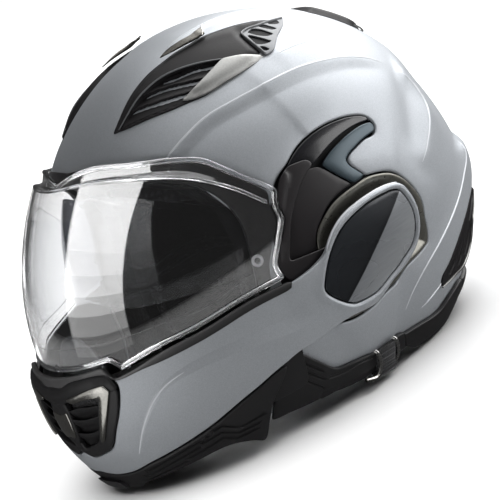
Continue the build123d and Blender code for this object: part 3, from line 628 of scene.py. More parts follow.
def mat_two_tone():
    """Gunmetal pod plate: darker at the front, lighter behind a slanting edge, finely brushed."""
    m, nt, bs = new_mat("gunmetal_two_tone")
    tc = node(nt, "ShaderNodeTexCoord")
    sep = node(nt, "ShaderNodeSeparateXYZ")
    nt.links.new(tc.outputs["Object"], sep.inputs[0])
    # slanting edge from (y 52.5, z 117) down to (y -14.5, z 71), in mm of the frame
    dy, dz = 67.0, 46.0
    ln = math.hypot(dy, dz)
    a = node(nt, "ShaderNodeMath", operation="MULTIPLY"); a.inputs[1].default_value = 1000 * dz / ln
    b = node(nt, "ShaderNodeMath", operation="MULTIPLY"); b.inputs[1].default_value = -1000 * dy / ln
    c = node(nt, "ShaderNodeMath", operation="ADD")
    d = node(nt, "ShaderNodeMath", operation="ADD")
    nt.links.new(sep.outputs["Y"], a.inputs[0])
    nt.links.new(sep.outputs["Z"], b.inputs[0])
    nt.links.new(a.outputs[0], c.inputs[0])
    nt.links.new(b.outputs[0], c.inputs[1])
    nt.links.new(c.outputs[0], d.inputs[0])
    d.inputs[1].default_value = -(52.5 * dz - 117.0 * dy) / ln
    v = coords(nt, (300, 60, 900), (0.6, 0, 0))
    n = node(nt, "ShaderNodeTexNoise", Scale=1.0, Detail=4.0)
    nt.links.new(v, n.inputs["Vector"])
    w = node(nt, "ShaderNodeTexNoise", Scale=22.0, Detail=2.0)
    nt.links.new(tc.outputs["Object"], w.inputs["Vector"])
    col = ramp(nt, rng(nt, d.outputs[0], 0, 1, -30.0, 22.0), [(0.0, (0.030, 0.034, 0.040)), (0.50, (0.022, 0.024, 0.028)), (0.572, (0.014, 0.015, 0.018)), (0.582, (0.27, 0.283, 0.30)), (1.0, (0.36, 0.375, 0.39))])
    mx = node(nt, "ShaderNodeMix", data_type="RGBA", blend_type="MULTIPLY")
    mx.inputs[0].default_value = 0.45
    nt.links.new(col, mx.inputs[6])
    nt.links.new(ramp(nt, n.outputs[0], [(0.2, (0.6, 0.6, 0.6)), (0.8, (1, 1, 1))]), mx.inputs[7])
    nt.links.new(mx.outputs[2], bs.inputs["Base Color"])
    bs.inputs["Metallic"].default_value = 0.55
    nt.links.new(rng(nt, w.outputs[0], 0.24, 0.34, 0.3, 0.7), bs.inputs["Roughness"])
    bs.inputs["Coat Weight"].default_value = 0.4
    bs.inputs["Coat Roughness"].default_value = 0.12
    bump(nt, n.outputs[0], 0.03, 0.0002, bs)
    return m


def mat_fabric(name, color, scale=700.0, sheen=0.35, rough=0.85, bumpy=0.35):
    m, nt, bs = new_mat(name)
    v = coords(nt)
    w1 = node(nt, "ShaderNodeTexWave", Scale=scale / 6.0, Distortion=1.2)
    w1.inputs["Detail"].default_value = 1.0
    w2 = node(nt, "ShaderNodeTexWave", Scale=scale / 6.0, Distortion=1.2)
    w2.bands_direction = "Z"
    fz = node(nt, "ShaderNodeTexNoise", Scale=scale, Detail=4.0)
    bg = node(nt, "ShaderNodeTexNoise", Scale=30.0, Detail=3.0)
    for t in (w1, w2, fz, bg):
        nt.links.new(v, t.inputs["Vector"])
    mx = node(nt, "ShaderNodeMath", operation="MULTIPLY")
    nt.links.new(w1.outputs["Fac"], mx.inputs[0])
    nt.links.new(w2.outputs["Fac"], mx.inputs[1])
    ad = node(nt, "ShaderNodeMath", operation="ADD")
    nt.links.new(mx.outputs[0], ad.inputs[0])
    nt.links.new(fz.outputs[0], ad.inputs[1])
    nt.links.new(ramp(nt, rng(nt, ad.outputs[0], 0, 1, 0.3, 1.5), [(0.0, tuple(c * 0.55 for c in color)), (1.0, tuple(min(1, c * 1.5) for c in color))]), bs.inputs["Base Color"])
    bs.inputs["Sheen Weight"].default_value = sheen
    bs.inputs["Sheen Roughness"].default_value = 0.4
    nt.links.new(rng(nt, bg.outputs[0], rough - 0.08, min(1.0, rough + 0.08), 0.3, 0.7), bs.inputs["Roughness"])
    bump(nt, ad.outputs[0], bumpy, 0.0006, bs)
    return m


def mat_foam():
    m, nt, bs = new_mat("bead_foam")
    v = coords(nt)
    vo = node(nt, "ShaderNodeTexVoronoi", Scale=330.0)
    no = node(nt, "ShaderNodeTexNoise", Scale=60.0, Detail=3.0)
    nt.links.new(v, vo.inputs["Vector"])
    nt.links.new(v, no.inputs["Vector"])
    nt.links.new(ramp(nt, vo.outputs["Distance"], [(0.0, (0.012, 0.012, 0.013)), (0.75, (0.006, 0.006, 0.007))]), bs.inputs["Base Color"])
    nt.links.new(rng(nt, no.outputs[0], 0.62, 0.82, 0.3, 0.7), bs.inputs["Roughness"])
    bump(nt, vo.outputs["Distance"], 0.5, 0.0006, bs)
    return m


def mat_net():
    """Black woven net stretched behind the chin vent's slots."""
    m, nt, bs = new_mat("black_net")
    v = coords(nt, (1, 1, 1))
    vo = node(nt, "ShaderNodeTexVoronoi", Scale=520.0, feature="DISTANCE_TO_EDGE")
    no = node(nt, "ShaderNodeTexNoise", Scale=80.0, Detail=2.0)
    nt.links.new(v, vo.inputs["Vector"])
    nt.links.new(v, no.inputs["Vector"])
    nt.links.new(ramp(nt, vo.outputs["Distance"], [(0.0, (0.05, 0.05, 0.054)), (0.10, (0.035, 0.035, 0.038)), (0.16, (0.002, 0.002, 0.002)), (1.0, (0.001, 0.001, 0.001))]), bs.inputs["Base Color"])
    nt.links.new(rng(nt, no.outputs[0], 0.35, 0.55, 0.3, 0.7), bs.inputs["Roughness"])
    bump(nt, vo.outputs["Distance"], 0.8, 0.0008, bs)
    return m


def mat_glass(name, tint, rough=0.0, ior=1.49, trans=1.0, metal=0.0, coat=0.0, coat_ior=1.5):
    m, nt, bs = new_mat(name)
    bs.inputs["Coat Weight"].default_value = coat
    bs.inputs["Coat IOR"].default_value = coat_ior
    bs.inputs["Coat Roughness"].default_value = 0.0
    v = coords(nt)
    n = node(nt, "ShaderNodeTexNoise", Scale=18.0, Detail=3.0)
    nt.links.new(v, n.inputs["Vector"])
    nt.links.new(ramp(nt, n.outputs[0], [(0.3, tuple(c * 0.985 for c in tint)), (0.7, tint)]), bs.inputs["Base Color"])
    nt.links.new(rng(nt, n.outputs[0], rough, rough + 0.015, 0.3, 0.7), bs.inputs["Roughness"])
    bs.inputs["IOR"].default_value = ior
    bs.inputs["Transmission Weight"].default_value = trans
    bs.inputs["Metallic"].default_value = metal
    return m


M = {
    "paint": mat_paint(),
    "black": plain("satin_black_plastic", (0.0125, 0.012, 0.013), rough=0.46, grain=1500, amount=0.10),
    "black_soft": plain("grained_black_plastic", (0.0115, 0.0105, 0.0115), rough=0.50, grain=1100, amount=0.20),
    "black_gloss": plain("gloss_black_plastic", (0.008, 0.008, 0.010), rough=0.24, grain=500, amount=0.02, coat=0.25, coat_rough=0.1),
    "brown_black": plain("hinge_plate_black", (0.012, 0.0095, 0.011), rough=0.40, grain=900, amount=0.06, coat=0.15, coat_rough=0.25),
    # void finish: near-black, darker than the black plastic, for sheets laid under gaps and openings; painted shade for
    # the hollows behind them
    "dark_void": plain("painted_void_shade", (0.006, 0.006, 0.007), rough=0.6, grain=600, amount=0.2),
    "blue_grey": plain("blue_grey_hinge_cover", (0.045, 0.065, 0.078), rough=0.34, metal=0.55, grain=1800, amount=0.05, coat=0.3, coat_rough=0.22),
    "titanium": mat_brushed("titanium_paint", (0.235, 0.23, 0.205), rough=0.33, scale=(500, 500, 500), metal=0.85, strength=0.05),
    "slider": mat_brushed("slider_dark_titanium", (0.085, 0.08, 0.07), rough=0.30, scale=(500, 500, 500), metal=0.9, strength=0.05),
    # line finish: lighter and glossier than the paint, a painted highlight for the crease and pod-rim beads
    "line": plain("crease_painted_highlight", (0.62, 0.64, 0.67), rough=0.42, metal=0.35, grain=2200, amount=0.02, vary=0.03),
    "silver": mat_brushed("satin_bright_trim", (0.37, 0.37, 0.36), rough=0.32, scale=(900, 900, 900), metal=0.95, strength=0.008, rvary=0.03),
    "chrome": mat_brushed("bright_trim", (0.47, 0.46, 0.43), rough=0.2, scale=(500, 700, 700), metal=1.0, strength=0.012, rvary=0.03),
    "grey_frame": plain("grey_vent_frame", (0.16, 0.165, 0.172), rough=0.42, metal=0.4, grain=2200, amount=0.05),
    "steel": mat_brushed("plain_steel", (0.56, 0.555, 0.54), rough=0.27, scale=(900, 200, 900)),
    "gunmetal": mat_two_tone(),
    "clear": mat_glass("clear_shield", (0.992, 0.994, 1.0), ior=1.45, coat=1.0, coat_ior=1.55),
    "clear_rim": mat_glass("clear_shield_rim", (0.97, 0.975, 0.99), ior=1.52, coat=0.6, coat_ior=1.8),
    "smoke": mat_glass("smoke_shield", (0.34, 0.345, 0.37), rough=0.0, ior=1.3),
    "lens": mat_glass("fog_lens", (0.985, 0.99, 0.995), ior=1.06),
    "fabric": mat_fabric("liner_knit", (0.011, 0.010, 0.0115), sheen=0.12),
    "mesh_fabric": mat_fabric("liner_mesh", (0.020, 0.020, 0.022), scale=420, bumpy=0.6, sheen=0.12),
    "webbing": mat_fabric("strap_webbing", (0.024, 0.024, 0.026), scale=900, bumpy=0.6, sheen=0.2),
    "rubber": plain("seal_rubber", (0.010, 0.0095, 0.010), rough=0.58, grain=800, amount=0.2),
    "guard": plain("breath_guard_rubber", (0.060, 0.062, 0.066), rough=0.55, grain=700, amount=0.15),
    "foam": mat_foam(),
    "net": mat_net(),
    "white_pin": plain("white_pin", (0.62, 0.62, 0.64), rough=0.3, grain=800, amount=0.05),
    "lever": plain("lever_black", (0.022, 0.021, 0.023), rough=0.36, grain=900, amount=0.1),
    "piping": mat_fabric("seam_piping", (0.018, 0.018, 0.020), scale=1200, bumpy=0.4),
    "thread": mat_fabric("stitch_thread", (0.07, 0.07, 0.075), scale=2500, bumpy=0.4),
}


# ======================================================================= outer shell
def crest(q, line, up, down, wu, wd, wr, fade=(0.08, 0.1)):
    """Moulded crease: the left side climbs to the line, the right side drops below it and comes back."""
    d, s, t = near(q, line)
    sd = d * s
    f = sm(t, 0, fade[0]) * (1 - sm(t, 1 - fade[1], 1)) if fade else 1.0
    # beyond the ends the crease dies out
    e = np.exp(-np.where(t <= 0, np.linalg.norm(q - line[0], axis=1), np.where(t >= 1, np.linalg.norm(q - line[-1], axis=1), 0)) / 6.0)
    hi = up * np.exp(-np.maximum(sd, 0) / wu)
    lo = (up + down) * sm(-sd, 0, wd) * np.exp(-np.maximum(-sd - wd, 0) / wr)
    return f * e * np.where(sd >= 0, hi, up * np.exp(-(-sd) / wr) * (1 - sm(-sd, 0, wd)) + (up - lo) * sm(-sd, 0, wd) * 1.0)


def ridge(q, line, amp, wl, wr, fade=(0.15, 0.15)):
    """Soft ridge with its own fall on each side."""
    d, s, t = near(q, line)
    w = np.where(s > 0, wl, wr)
    f = sm(t, 0, fade[0]) * (1 - sm(t, 1 - fade[1], 1))
    return amp * f * np.exp(-(d / w) ** 1.4)


def rows_by(line, ds):
    return [offset_line(line, x) for x in ds]


side_crease = dense([(106, 84), (99.1, 88.0), (90.8, 93.0), (83.3, 96.1), (75.1, 99.0), (58.0, 103.5), (39.1, 103.8), (16.4, 103.5), (-16.2, 102.9), (-33.0, 100.7),
                     (-50.6, 97.3), (-76.0, 87.1), (-92, 76)], 2.0, False, 60)
crown = dense([(48, 183), (35.6, 186.0), (26.2, 187.8), (15.4, 188.5), (-1.3, 189.3), (-17.2, 188.4), (-36.4, 184.1), (-58, 172), (-80, 158), (-104, 140)], 2.5, False, 60)
rear_step = dense([(-2, 119.6), (-18.0, 120.2), (-32.3, 119.9), (-46.7, 118.2), (-62.0, 116.5), (-78, 114), (-96, 112)], 2.5, False, 60)
spoiler = dense([(-90, 72), (-96.5, 64), (-100.1, 54.3), (-98.0, 43.1), (-88.4, 33.5), (-76.0, 24.6), (-61.1, 15.5), (-50, 8)], 2.0, False, 60)
lip = dense([(-134, 6), (-126, 1.5), (-116.8, -6.2), (-102.9, -12.8), (-85.8, -21.7), (-70.6, -29.2), (-47.7, -39.8), (-28.3, -50.0), (-14, -63), (-6, -75)], 2.0, False, 60)
lip_back = dense([(-216, 14), (-190, 12), (-160, 9), (-134, 6)], 3.0, False, 60)
low_cr = dense([(-50, -69.5), (-34.7, -74.6), (-26, -78)], 2.0, False, 60)

SHELL_SIDE = [(-150, 206), (-112, 200), (-88, 193), (-66, 177), (-56, 150), (-60, 124), (-66, 100), (-68, 62),
              (-86, 21), (-79, 21), (-45, 17), (-17, 14), (2, 12), (25, 10), (56, 6), (98, 5), (160, 5), (240, 5), (240, 300), (-150, 300)]
sp = []
for a, b in zip(SHELL_SIDE, SHELL_SIDE[1:] + SHELL_SIDE[:1]):
    k = max(1, int(math.hypot(b[0] - a[0], b[1] - a[1]) / 6))
    sp += [(a[0] + (b[0] - a[0]) * i / k, a[1] + (b[1] - a[1]) * i / k) for i in range(k)]
shell_out = dense(SH.side(sp), 2.5, True, 30)

# opening in the shell for the hinge: crescent, hook and ring fit in it
POCKET = [(37, 47), (28.8, 51.3), (22.8, 55.3), (13.2, 59.4), (1.0, 61.5), (-12.7, 61.3), (-24.7, 59.1), (-33.6, 54.8), (-36.6, 49.4), (-35.4, 44.6),
          (-33.4, 42.5), (-23.1, 42.0), (-14.2, 39.9), (-7.3, 37.6), (-5.3, 36.0), (-5.8, 33.2), (-9.0, 27.6), (-11.6, 23.4), (-19.9, 21.6), (-28.4, 18.4),
          (-35.4, 12.2), (-40.2, 2.5), (-42.7, -8.6), (-42.0, -16.6), (-41.9, -26.6), (-40.0, -33.6), (-30.4, -36.2), (-17.6, -38.8), (-6.2, -44.8), (7.7, -43.1),
          (18.9, -39.9), (27.4, -38.3), (36.5, -34.4), (44, -30), (54, -12), (54, 10), (50, 30)]
pocket = dense(POCKET, 1.6, True, 45)


SEAL_O = [(-150, 211), (-106, 209.0), (-88, 203.2), (-70, 196.4), (-58, 189.8), (-51.5, 182), (-43.8, 171.6), (-37.4, 163), (-32.8, 156), (-36.4, 147), (-36.8, 139), (-47, 124), (-54, 113), (-56.5, 103), (-60, 99)]
SEAL_I = [(-67.2, 99), (-61.2, 124), (-57.2, 150), (-60, 163), (-67, 176.4), (-77, 184.8), (-88.8, 192.0), (-100, 195.8), (-112.5, 199), (-150, 205)]
seal_loop = dense([tuple(p) for p in SH.side(SEAL_O)] + [tuple(p) for p in SH.side(SEAL_I)], 2.0, True, 34)


def shell_top(q, d):
    h = np.zeros(len(q))
    h += crest(q, side_crease[::-1], 0.9, 1.1, 26.0, 9.0, 24.0, (0.18, 0.06))
    h += crest(q, crown[::-1], 0.8, 0.4, 30.0, 7.0, 20.0, (0.25, 0.15))
    h += ridge(q, rear_step, 0.8, 12.0, 7.0, (0.12, 0.3))
    h += ridge(q, spoiler, 2.6, 9.0, 15.0, (0.10, 0.22))
    dv, sv, tv = near(q, dense([(-98.5, 68.6), (-86, 57), (-78.9, 49.8), (-64.7, 32.3), (-54.1, 17.1)], 3.0, False, 60))
    h -= 1.5 * np.exp(-(dv / 9.0) ** 2) * sm(tv, 0, 0.25) * (1 - sm(tv, 0.75, 1))
    # rear lip: full above the line, drawn in below it
    dl, sl, tl = near(q, lip)
    w = 7.0 * (1 - 0.6 * tl)
    h += 1.5 * (1 - 0.6 * tl) * np.exp(-(dl / w) ** 1.3) * sm(tl, 0.0, 0.08) * (1 - sm(tl, 0.9, 1))
    h += ridge(q, low_cr, 0.8, 3.0, 3.0, (0.1, 0.3))
    dp = near(q, pocket, True)[0]
    h -= 0.7 * np.exp(-(dp / 6.0) ** 2)
    r_, t_ = np.hypot(q[:, 0], q[:, 1]), np.degrees(np.arctan2(q[:, 1], q[:, 0])) % 360
    wide = sm(r_, 92, 132)
    h -= 3.3 * wide * sm(t_, 144, 158) * (1 - sm(t_, 176.5, 181.5))
    h += 2.3 * wide * np.exp(-((t_ - 186.0) / 8.0) ** 2) * sm(t_, 177, 182)
    # low and even under the rubber seal of the face opening
    ds = near(q, seal_loop, True)[0]
    w = np.where(inside(seal_loop, q), 1.0, 1 - sm(ds, 0, 4.0))
    return h * (1 - w) + np.minimum(h, -0.25) * w


v, f, mi = patch(SH, shell_out, [pocket], [side_crease, crown, spoiler, lip], step=3.0, rim=1.3, T=3.4, top=shell_top, bottom=lambda q, d: 0.12 * np.minimum(shell_top(q, d), 0.0),
                 extra=rows_by(side_crease, (-5, -3.5, -2, -1, 1.2, 3)) + rows_by(crown, (-5, -3.5, -2, -1, 1.2, 3)) + rows_by(lip, (-4, -2, 2, 4)) + rows_by(spoiler, (-4, -2, 2, 4)))
piece("shell_outer", *both(v, f, mi), M["paint"], "shell", "outer_shell", "shell_paint", smooth=50)




def crease_line(form, line, top, rad, sink, fade=(0.25, 0.2), bulge=1.0):
    """Thin bead that follows a crease, proud of the paint by a few tenths, running out at both ends; given the lighter
    line finish, it is a painted highlight along the crease.
    """
    s_ = np.linspace(0, 1, len(line))
    env = np.sqrt(np.clip(np.minimum(s_ / fade[0], (1 - s_) / fade[1]), 0, 1))
    ht = top(line, np.full(len(line), 50.0))
    r = rad * (0.25 + 0.75 * env) * (1 + (bulge - 1) * np.exp(-((s_ - 0.4) / 0.2) ** 2))
    return tube(form.P(line) + form.N(line) * (ht - r + sink * (0.2 + 0.8 * env))[:, None], r, 10)


# lighter beads along the shell creases: painted highlights on the creases
B = Build()
for ln, rad_, snk, fd, bl in ((side_crease, 1.0, 0.42, (0.10, 0.12), 1.0), (crown, 0.85, 0.40, (0.3, 0.25), 1.3), (rear_step[:-6], 1.3, 0.42, (0.3, 0.35), 1.5),
                              (spoiler, 1.0, 0.40, (0.25, 0.3), 1.5), (lip, 1.0, 0.42, (0.25, 0.4), 1.3), (low_cr, 0.8, 0.36, (0.4, 0.4), 1.0)):
    vr, fr = crease_line(SH, ln[4:-4] if len(ln) > 24 else ln, shell_top, rad_, snk, fd, bl)
    B.add(vr, fr)
    B.add(*mirrored(vr, fr))
piece("shell_crease_lines", *B.data(), M["line"], "shell", (), "shell_paint")

# ======================================================================= chin bar
INSERT = [(31.7, -13.6), (27.5, -6.3), (23.0, -0.1), (17.8, 4.5), (10.0, 7.8), (0.2, 10.0), (-9.7, 10.1), (-17.9, 9.3), (-22.1, 7.7), (-24.7, -0.8), (-25.3, -8.5),
          (-23.5, -15.4), (-20.1, -21.1), (-12.0, -27.2), (-1.9, -32.5), (9.0, -30.6), (17.2, -27.8), (22.3, -26.2), (27, -20.5)]
RIM_OUT = [(26.8, -0.3), (24.7, 3.1), (20.3, 7.1), (14.3, 10.4), (4.7, 12.9), (-5.0, 13.6), (-15.0, 13.3), (-22.4, 12.0), (-26.6, 8.4), (-28.8, 0.1), (-29.2, -7.6), (-27.6, -15.4),
           (-23.8, -23.0), (-16.6, -29.9), (-7.9, -35.4)]
LOW = [(53.4, -32.9), (59.9, -34.8), (67.1, -36.8), (76.0, -40.0), (85.6, -43.3), (94.9, -47.0), (104.7, -51.2), (118.2, -56.4), (135.2, -63.2), (153.3, -71.3), (159.7, -75.1), (169.5, -80.2),
       (183, -86), (200, -91), (222, -95)]
top_edge = CH.side([(-157, 87), (-135, 92.5), (-110, 95.5), (-76, 100), (-48, 100), (-30, 103)])
rear_edge = CH.side([(4, 59.5), (-14, 60), (-30, 60), (-44, 57.5)])
chin_poly = ([(222, -22), (205, -21)] + [tuple(x) for x in top_edge] + RIM_OUT + [tuple(x) for x in rear_edge] + LOW)
chin_out = dense(chin_poly, 2.0, True, 34)
insert_loop = dense(INSERT, 1.5, True, 40)
insert_hole = dense(INSERT, 1.5, True, 40) * 1.0
cen = insert_hole.mean(0)
insert_hole = offset_line(insert_hole, 0.75 if inside(insert_hole, offset_line(insert_hole, -0.5, True)).mean() > 0.5 else -0.75, True)
frame_edge = dense([(222, -19), (197.4, -15.9), (182.1, -13.0), (169.6, -12.0), (160, -12.6), (153.6, -20.8), (155, -28), (158.6, -36.3), (165, -47), (171.6, -58.3), (183, -66), (195.0, -73.0), (208, -70.5), (222, -70)], 2.0, True, 34)
chin_crease = dense([(34, -19.2), (37.6, -19.2), (47.8, -20.3), (54.5, -20.3), (62.0, -19.8), (70.3, -19.8), (82.6, -19.6), (95.5, -20.1), (107.8, -21.5), (118.7, -23.9), (125.9, -26.9), (133.6, -32.6),
                     (140.8, -40.4), (146.9, -48.8), (152.6, -58.6), (157, -67)], 2.0, False, 60)


def chin_top(q, d):
    h = np.zeros(len(q))
    dc, sc, tc = near(q, chin_crease)
    sd = dc * sc * CREASE_UP
    w = 2.5 * (1 - tc) + 0.8
    amp = (2.2 * (1 - tc) + 0.7) * sm(tc, 0.0, 0.14) * (1 - sm(tc, 0.90, 1.0))
    # above the line the wall is set back; the chamfer between faces up
    h -= amp * np.clip((sd + w) / (2 * w), 0, 1) * np.exp(-np.maximum(sd - w, 0) / 40.0)
    # raised bead round the pod plate
    di = near(q, insert_hole, True)[0]
    pod = 1 - sm(np.hypot(q[:, 0], q[:, 1] + 10), 34, 46)
    h += (1.0 * np.exp(-((di - 1.6) / 1.9) ** 2) + 0.3) * pod
    return h


# which side of the crease line is up
_d, _s, _t = near(np.array([[95.0, -5.0]]), chin_crease)
CREASE_UP = float(_s[0])


def voffset(line, d):
    t = np.gradient(line, axis=0)
    t /= np.maximum(np.linalg.norm(t, axis=1, keepdims=True), 1e-9)
    return line + np.stack([-t[:, 1], t[:, 0]], 1) * np.asarray(d)[:, None]


cc_w = 2.5 * (1 - np.linspace(0, 1, len(chin_crease))) + 0.8
v, f, mi = patch(CH, chin_out, [insert_hole, frame_edge], [voffset(chin_crease, cc_w), voffset(chin_crease, -cc_w)], step=2.8, rim=1.3, T=3.4, top=chin_top,
                 extra=[voffset(chin_crease, cc_w * k) for k in (-1.5, -1.12, -0.88, 0.0, 0.88, 1.12, 1.5)] + [offset_line(insert_hole, x, True) for x in (-3.4, -2.3, 2.3, 3.4)])
piece("chin_bar_outer", *both(v, f, mi), M["paint"], "chin_bar", "chin_bar_shell", "shell_paint", smooth=14)
# lighter beads along the chin crease and round the pod plate: painted highlights
B = Build()
for ln, rad_ in ((chin_crease[len(chin_crease) * 55 // 100:-3], 0.7), (dense([(26.8, -0.3), (24.7, 3.1), (20.3, 7.1), (14.3, 10.4), (4.7, 12.9), (-5.0, 13.6), (-15.0, 13.3), (-22.4, 12.0)], 1.2, False, 60), 1.1)):
    ht = chin_top(ln, np.full(len(ln), 50.0)) - (0.0 if rad_ < 1 else 1.0)
    s_ = np.linspace(0, 1, len(ln))
    r = rad_ * (0.3 + 0.7 * np.sqrt(np.clip(np.minimum(s_ / 0.25, (1 - s_) / 0.25), 0, 1)))
    vr, fr = tube(CH.P(ln) + CH.N(ln) * (ht - r + 0.3)[:, None], r, 10)
    B.add(vr, fr)
    B.add(*mirrored(vr, fr))
piece("chin_crease_lines", *B.data(), M["line"], "chin_bar", (), "shell_paint")

# pod plates, slightly crowned
def insert_top(q, d):
    return 0.5 * sm(d, 0, 14)


v, f, mi = patch(CH, insert_loop, step=2.0, rim=0.7, T=1.8, base=0.15, top=insert_top)
piece("pod_plate_left", v, f, M["gunmetal"], "chin_bar", "pod_insert_left", "gunmetal")
piece("pod_plate_right", *mirrored(v, f), M["gunmetal"], "chin_bar", "pod_insert_right", "gunmetal")
# backing behind the gap round the pod plate, in the void finish: painted shade in the gap
v, f, mi = patch(CH, dense(offset_line(insert_loop, 2.5 if inside(insert_loop, offset_line(insert_loop, -0.5, True)).mean() > 0.5 else -2.5, True), 2.0, True, 60), step=4.0, rim=0.3, T=1.0, base=-1.9)
piece("pod_backing", *both(v, f), M["dark_void"], "chin_bar", (), "black_plastic")

# inner flange of the chin bar behind its joint with the side skirts
flange = dense([tuple(p) for p in CH.side([(-92, 30), (-58, 30), (-56, 64), (-92, 70)])], 3.0, True, 45)
v, f, mi = patch(CH, flange, [], step=5.0, rim=0.3, T=1.0, base=-5.4)
piece("chin_inner_flange", *both(v, f), M["black"], "chin_bar", (), "black_plastic")

# ======================================================================= clear visor
VIS = [(-200, 220), (-150, 214), (-106, 211.5), (-89, 206), (-70, 199), (-57, 192), (-50, 183), (-42, 172), (-35, 164), (-28, 156), (-33, 147), (-33, 138),
       (-44, 123), (-51, 113), (-49, 103)]
vis_low = VI.side([(-76, 102.4), (-110, 98), (-135, 95.2), (-150, 90.6)])
notch = VI.front([(57, 88.5), (50.5, 97.5), (40, 96.5), (20, 95), (0, 94.8), (-10, 94.8)])
vis_poly = [tuple(x) for x in VI.side(VIS)] + [tuple(x) for x in vis_low] + [tuple(x) for x in notch]
visor_out = dense(vis_poly, 2.0, True, 34)
step_line = dense([tuple(x) for x in VI.at([(-12, -121, 202), (7, -119.5, 201.5), (39, -109, 200.5), (62, -96, 196), (89, -69, 183), (104, -50, 166), (112, -38, 151)])], 2.0, False, 60)
_d, _s, _t = near(VI.side([(-90, 150)]), step_line)
STEP_IN = float(_s[0])


def visor_top(q, d):
    ds, ss, ts = near(q, step_line)
    sd = ds * ss * STEP_IN          # positive towards the middle of the shield
    drop = 4.6 * (1 - sm(ts, 0.35, 0.95)) + 0.6
    return -drop * (1 - sm(sd, -4.5, 0.6)) * (1 - 0.25 * sm(-sd, 3, 12))


v, f, mi = patch(VI, visor_out, [], [], step=3.2, rim=0.8, T=2.3, top=visor_top, bottom=visor_top, under=0.8,
                 extra=rows_by(step_line, (-6, -4.5, -3, -1.5, -0.4, 0.6, 2.0)) + [offset_line(visor_out, x, True) for x in (-2.2, 2.2)])
piece("visor_clear", *both(v, f, mi), M["clear"], "visor", "visor_shield", "clear_shield", smooth=24)

rim_pts = shrink(visor_out, 1.3)
rr_ = np.hypot(rim_pts[:, 0], rim_pts[:, 1])
on = rr_ <= RIM
start = next(i for i in range(len(on)) if on[i] and not on[i - 1])
path = []
for k in range(len(on)):
    i = (start + k) % len(on)
    if not on[i]:
        break
    path.append(rim_pts[i])
path = np.array(path)
ends = [path[0] * (RIM / np.hypot(*path[0])), path[-1] * (RIM / np.hypot(*path[-1]))]
path = np.concatenate([[ends[0]], path[1:-1], [ends[1]]])
P = VI.P(path) + VI.N(path) * (-0.75 + visor_top(path, None))[:, None]
P[0, 0] = P[-1, 0] = 0
vr, fr = tube(P, 1.75, 10)
B = Build().add(vr, fr)
B.add(*mirrored(vr, fr))
piece("visor_rim_bead", *B.data(), M["clear_rim"], "visor", (), "clear_shield")
sl_ = step_line[np.hypot(step_line[:, 0], step_line[:, 1]) <= RIM]
P = VI.P(sl_) + VI.N(sl_) * (-0.9 + 0.5 * visor_top(sl_, None))[:, None]
P = np.concatenate([[P[0] * [0, 1, 1]], P])
vr, fr = tube(P, np.linspace(1.35, 1.1, len(P)), 10)
B = Build().add(vr, fr)
B.add(*mirrored(vr, fr))
piece("visor_brow_bead", *B.data(), M["clear_rim"], "visor", (), "clear_shield")

# black seal over the shell's edge, under the shield
v, f, mi = patch(SH, seal_loop, [], [], step=2.8, rim=0.9, T=4.2, base=0.5, top=lambda q, d: 0.5 * np.exp(-((d - 2.0) / 1.2) ** 2))
piece("face_opening_seal", *both(v, f, mi), M["rubber"], "shell", "eyeport_seal", "soft_rubber")

# ======================================================================= sun visor
SUNS = [(-200, 214), (-104, 187), (-72, 168), (-44, 150), (-20, 136), (0, 122), (12, 118), (20.5, 118), (31, 112), (31, 101), (20.5, 96), (8, 97), (-20, 106), (-56, 110), (-90, 113), (-118, 116), (-134, 124), (-200, 128)]
sun_hole = dense([(4 * math.cos(a), 4 * math.sin(a)) for a in np.linspace(0, 2 * math.pi, 20, endpoint=False)], 1.0, True, 90, 0)
v, f, mi = patch(SU, dense(SU.side(SUNS), 2.5, True, 30, 3), [sun_hole], step=4.0, rim=0.7, T=1.9, under=0.7)
piece("sun_shield", *both(v, f, mi), M["smoke"], "sun_visor", "sun_visor", "smoke_shield", smooth=60)

# ======================================================================= side hinge
def disc_loop(c, r, n=28):
    return np.array([(c[0] + r * math.cos(a), c[1] + r * math.sin(a)) for a in np.linspace(0, 2 * math.pi, n, endpoint=False)])


def pair(name, v, f, mat, bodies, reps=("", ""), slot=None, **kw):
    a = piece(name + "_left", v, f, mat, bodies[0], reps[0] or (), slot, **kw)
    b = piece(name + "_right", *mirrored(v, f), mat, bodies[1], reps[1] or (), slot, **kw)
    return a, b


SS = ("shell", "shell")
pin_hole = disc_loop((0, 0), 3.4, 20)
# floor of the hinge opening, seen between its parts, in the void finish: painted shade
v, f, mi = patch(SH, dense([tuple(p) for p in POCKET], 3, True, 45) * 1.04, [], step=6.0, rim=0.2, T=0.8, base=-5.2)
pair("hinge_pocket_floor", v, f, M["dark_void"], SS, slot="black_plastic")

BASE = [(13.2, 41.0), (5.5, 31.5), (-1.5, 22.4), (5.8, 22.1), (13.6, 20.2), (21.4, 15.6), (27.3, 10.3), (30.0, 5.4), (30.6, -1.3), (30, -24), (48, -24), (56, -3), (50, 14), (42.5, 27), (33, 36), (22, 43)]
v, f, mi = patch(SH, dense(BASE, 1.6, True, 40), step=3.0, rim=0.9, T=2.2, base=-0.9, top=lambda q, d: -0.8 * sm(q[:, 0], 38, 46))
pair("hinge_plate", v, f, M["brown_black"], SS, ("hinge_base_left", "hinge_base_right"), "black_plastic")

HOOK = [(10.4, 40.8), (3.7, 44.3), (-6.1, 47.6), (-18.5, 50.2), (-28.9, 50.6), (-34.6, 49.6), (-35.4, 46.4), (-33.4, 43.6), (-23.1, 42.9), (-14.2, 40.8), (-6.8, 38.3), (-4.3, 36.4), (-4.8, 33.3), (-8.1, 28.0), (-10.9, 23.7), (-2.4, 22.6), (4.6, 31.6)]
v, f, mi = patch(SH, dense(HOOK, 1.4, True, 42), step=2.4, rim=0.9, T=2.2, base=0.1, top=lambda q, d: 0.25 * sm(d, 0.5, 4))
pair("hinge_hook_cover", v, f, M["blue_grey"], SS, ("hinge_hook_left", "hinge_hook_right"), "blue_grey")

